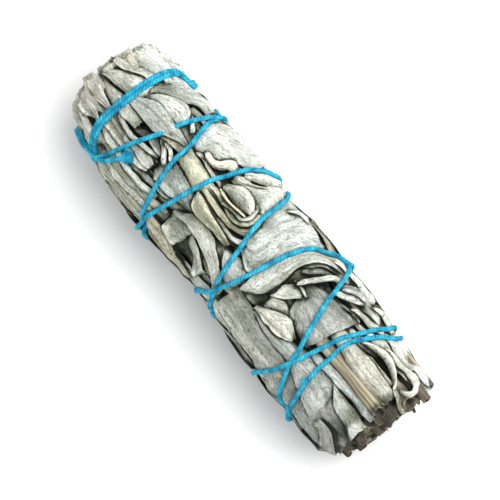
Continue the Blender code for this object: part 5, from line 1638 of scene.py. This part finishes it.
def stem_piece(name, row, look, draw):
    """A cut stem with nodes, ribs along it and a hollow end."""
    inner, outer, offset, height, radius = row
    along = np.linspace(0.0, 1.0, STEM_ROWS)
    stations = inner + (outer - inner) * along
    nodes_at = draw.uniform(0.25, 0.95, 2)
    swell = 1 + sum(NODE_SWELL * np.exp(-(((along - spot) / NODE_LENGTH) ** 2)) for spot in nodes_at)
    bend = STEM_BEND * np.sin(along * 5 + draw.uniform(0, 6))
    turn = np.linspace(0, 2 * math.pi, STEM_SIDES, endpoint=False)
    ribs = 1 + 0.035 * np.sin(5 * turn + 1.0) + 0.02 * np.sin(11 * turn)
    away = (radius * STEM_FIT * swell)[:, None] * ribs[None, :]
    rings = []
    for ring, station, lift in zip(away, stations, bend):
        across = offset + ring * np.cos(turn)
        rise = height + lift + ring * np.sin(turn)
        rings.append(np.column_stack((np.full(STEM_SIDES, station), across, rise)))
    # The bark darkens towards the cut end: weathering with painted shade
    weathered_shaded = np.clip((stations - WEATHERED_SHADED_FROM) / WEATHERED_SHADED_FADE, 0.0, 1.0)
    cut = np.repeat(weathered_shaded, STEM_SIDES).tolist()
    jag = soft_noise(draw, (2, STEM_SIDES), (1, 9))[0] * STEM_JAG
    slant = draw.uniform(0.1, 0.4) if name != "stem_hollow_end" else HOLLOW_SLANT
    jag = jag - slant * radius * (1 + np.sin(turn + draw.uniform(-0.5, 0.5)))
    for back in range(JAG_ROWS):
        rings[-1 - back][:, 0] += jag * (1 - back / JAG_ROWS)
    cut.extend(stem_end(rings, outer, np.array((offset, height + bend[-1])), jag))
    points = np.vstack(rings)
    points = points + np.array((SHIFT[0] - LENGTH / 2, SHIFT[1], AXIS_HEIGHT))
    piece = mesh_piece(name + "_bark", points, tube_faces(len(rings), STEM_SIDES), look)
    add_marks(piece.data, "cut_face", "FLOAT", cut)
    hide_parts(name)
    return piece


def cover_stems(layers):
    """Mark the two stems that lie open on the upper side."""
    turn = np.linspace(-1.2, 1.2, 9)[None, :]
    for name in UPPER_STEMS:
        inner, outer, offset, height, radius = STEMS[name]
        stations = np.linspace(inner, outer, 60)[:, None] + np.zeros((1, 9))
        across = offset + radius * np.sin(turn) + 0 * stations
        rise = height + radius * np.cos(turn) + 0 * stations
        angles = np.arctan2(across, rise)
        layers.cover(stations, angles, np.hypot(across, rise) - outline_radius(stations, angles))


def string_middle(line):
    """The string's middle line in space."""
    return in_space(line[:, 0], line[:, 1], line[:, 2] - PINCH, None, False)


def make_string(line, look):
    """The whole string as one twisted tube."""
    points = string_middle(line)
    points[:, 2] = np.maximum(points[:, 2], STRING_RADIUS + 0.05)
    tube = twisted_tube(points, outward(line[:, 1]), STRING_RADIUS)
    string_part("binding_string_cotton", tube, look)


def make_fuzz(line, look, draw):
    """Short loose fibres that stand off the string."""
    points = string_middle(line)
    course = np.gradient(points, axis=0)
    tubes = []
    for _ in range(FUZZ_FIBRES):
        place = int(draw.integers(2, len(line) - 2))
        along = course[place] / np.linalg.norm(course[place])
        out = outward(line[place, 1])
        side = np.cross(along, out)
        turn = draw.uniform(-1.3, 1.3)
        away = out * math.cos(turn) + side * math.sin(turn)
        root = points[place] + away * STRING_RADIUS * 0.9
        aim = away * draw.uniform(0.2, 0.8) + along * draw.uniform(-1.0, 1.0) + side * draw.normal(0, 0.4)
        bow = draw.normal(0, 0.3, 3)
        reach = FUZZ_LENGTH * draw.uniform(0.3, 1.0)
        tubes.append(fibre_tube(root, aim * reach, bow * reach, along, 5, 3, FUZZ_RADIUS, 0.6))
    points, faces = joined(tubes)
    points[:, 2] = np.maximum(points[:, 2], FLOOR_GAP)
    string_part("string_fuzz", (points, faces, np.full(len(points), FUZZ_PLY)), look)


def make_tuft(root, course, out, look, draw):
    """The frayed end of the string."""
    side = np.cross(course, out)
    tubes, plies = [], []
    for _ in range(TUFT_FIBRES):
        lean = draw.normal(0, TUFT_SPREAD / 2)
        lift = draw.uniform(-0.02, 0.12)
        aim = course * math.cos(lean) + side * math.sin(lean) + out * lift
        bow = side * draw.normal(0, 0.15) - out * draw.uniform(0.05, 0.25)
        reach = TUFT_LENGTH * draw.uniform(0.7, 1.0)
        start = root + side * draw.normal(0, 0.22) + out * draw.normal(0, 0.16)
        tubes.append(fibre_tube(start, aim * reach, bow * reach / 2, out, 7, 5, TUFT_RADIUS, 0.7))
        plies.append(np.full(len(tubes[-1][0]), draw.uniform(0.75, 1.0)))
    string_part("string_tuft", (*joined(tubes), np.concatenate(plies)), look)


def make_tail(layers, look, draw):
    """The string's loose end with its frayed tuft."""
    route = smooth_line(string_rows(TAIL) * AROUND, 26) / AROUND
    rest = spread_mean(squeezed(layers.look(route[:, 0], route[:, 1])), 4) + STRING_RADIUS * 0.9
    points = in_space(route[:, 0], route[:, 1], rest - PINCH * 0.6, None, False)
    out = outward(route[:, 1])
    string_part("string_tail", twisted_tube(points, out, STRING_RADIUS), look)
    course = points[-1] - points[-6]
    make_tuft(points[-3], course / np.linalg.norm(course), out[-1], look, draw)


def make_knots(layers, look):
    """Both knots, each a small coil of string round itself."""
    east = np.array((1.0, 0.0, 0.0))
    turn = np.linspace(0, 2 * math.pi * KNOT_TURNS, 60)[:, None]
    lift = np.linspace(-0.5, 0.5, 60)[:, None]
    for name, place, size in (("string_knot", KNOT, 1.1), ("string_small_knot", SMALL_KNOT, 0.7)):
        station, angle = string_rows((place,)).T
        rest = squeezed(layers.look(station, angle, 2)) + KNOT_LIFT
        centre = in_space(station, angle, rest - PINCH, None, False)[0]
        out = outward(angle[0])
        side = np.array((0.0, math.cos(angle[0]), -math.sin(angle[0])))
        loop = centre + east * np.cos(turn) * size * 0.55 + out * np.sin(turn) * size * 0.5
        loop = loop + side * lift * size * 0.9
        up = np.cos(turn) * east + np.sin(turn) * out
        string_part(name, twisted_tube(loop, up, STRING_RADIUS * 0.72), look)


def placed(name, data):
    """A new object in the scene."""
    made = bpy.data.objects.new(name, data)
    bpy.context.scene.collection.objects.link(made)
    return made


def towards(azimuth, elevation):
    """The direction from the bunch to a camera or a light."""
    flat = math.cos(elevation)
    return Vector((math.sin(azimuth) * flat, -math.cos(azimuth) * flat, math.sin(elevation)))


def aim_camera():
    """The camera at the photograph's viewing angle."""
    back = towards(CAMERA_AZIMUTH, CAMERA_ELEVATION)
    right = Vector((math.cos(CAMERA_AZIMUTH), math.sin(CAMERA_AZIMUTH), 0.0))
    over = back.cross(right)
    centre = Vector((SHIFT[0] * MM, SHIFT[1] * MM, AXIS_HEIGHT * MM))
    centre = centre + right * VIEW_SHIFT[0] * MM + over * VIEW_SHIFT[1] * MM
    distance = VIEW_WIDTH / 2 * MM / (CAMERA_SENSOR / 2 / CAMERA_LENS)
    data = bpy.data.cameras.new("camera")
    data.type = "PERSP"
    data.lens = CAMERA_LENS
    data.sensor_width = CAMERA_SENSOR
    data.clip_start = NEAREST_SEEN
    data.clip_end = FURTHEST_SEEN
    camera = placed("camera", data)
    camera.location = centre + back * distance
    camera.rotation_euler = back.to_track_quat("Z", "Y").to_euler()
    bpy.context.scene.camera = camera


def add_light(name, size, energy, azimuth, elevation, distance):
    """A square soft light that looks at the bunch."""
    data = bpy.data.lights.new(name, "AREA")
    data.shape = "SQUARE"
    data.size = size
    data.energy = energy
    light = placed(name, data)
    back = towards(math.radians(azimuth), math.radians(elevation))
    light.location = back * distance + Vector((0, 0, LIT_HEIGHT))
    light.rotation_euler = back.to_track_quat("Z", "Y").to_euler()


def set_stage():
    """A plain pale floor and soft studio light."""
    floor_look = Look("floor", Base_Color=(*FLOOR_COLOUR, 1.0), Roughness=0.9)
    mesh = bpy.data.meshes.new("floor")
    half = FLOOR_SIZE / 2
    corners = [(-half, -half, 0), (half, -half, 0), (half, half, 0), (-half, half, 0)]
    mesh.from_pydata(corners, [], [(0, 1, 2, 3)])
    mesh.materials.append(floor_look.material)
    floor = placed("floor", mesh)
    world = bpy.data.worlds.new("studio")
    world.use_nodes = True
    background = world.node_tree.nodes["Background"]
    background.inputs["Color"].default_value = (1.0, 1.0, 1.0, 1.0)
    background.inputs["Strength"].default_value = WORLD_STRENGTH
    bpy.context.scene.world = world
    add_light("key", **KEY_LIGHT)
    bpy.context.scene.view_settings.view_transform = "Standard"


def main():
    """Set the stage, lay up the bunch and wind the string round it."""
    aim_camera()
    set_stage()
    draw = np.random.default_rng(SEED)
    layers = Layers(DEEPEST)
    inner = lay_by_rule(layers, draw, **PACKED_COAT)
    middle = lay_by_rule(layers, draw, **MIDDLE_COAT)
    cover_stems(layers)
    sides = lay_by_rule(layers, draw, **SIDE_COAT)
    sink_hollows(layers, inner + middle + sides)
    upper = lay_upper(BROAD_LEAVES + NARROW_LEAVES, layers, draw)
    sides += lay_by_rule(layers, draw, **SEAM_COAT)
    level_out(layers, inner + middle + sides + upper)
    routes = string_turns()
    heights = settle_string(routes, layers)
    line = whole_string(routes, heights)
    press = StringPress(line)
    covered = covered_part(routes["b"])
    open_line = [row for row in line if not near_rows(row, routes["b"][covered])]
    cover_string(layers, routes["b"][covered], heights["b"][covered])
    over = lay_upper(OVER_STRING, layers, draw)
    depth_shade_level = smoothed_level(layers, DARK_REACH, DARK_REACH)
    leaf_look = leaf_material()
    string_look = string_material()
    stem_look = stem_material()
    packed_middle(plain_material("packed_leaf_dark_and_shaded", PACKED_COLOUR, 0.95))
    for name, leaves in (("leaves_inner", inner), ("leaves_of_middle", middle), ("leaves_of_sides", sides),
                         ("leaves_upper", upper), ("leaf_ends", end_leaves(draw))):
        leaf_piece(name, leaves, press, leaf_look, draw, layers, depth_shade_level)
    leaf_piece("leaf_over_string", over, StringPress(open_line), leaf_look, draw, layers, depth_shade_level)
    make_string(line, string_look)
    make_tail(layers, string_look, draw)
    make_fuzz(line, string_look, np.random.default_rng(SEED + 9))
    make_knots(layers, string_look)
    for name, row in STEMS.items():
        stem_piece(name, row, stem_look, draw)


main()
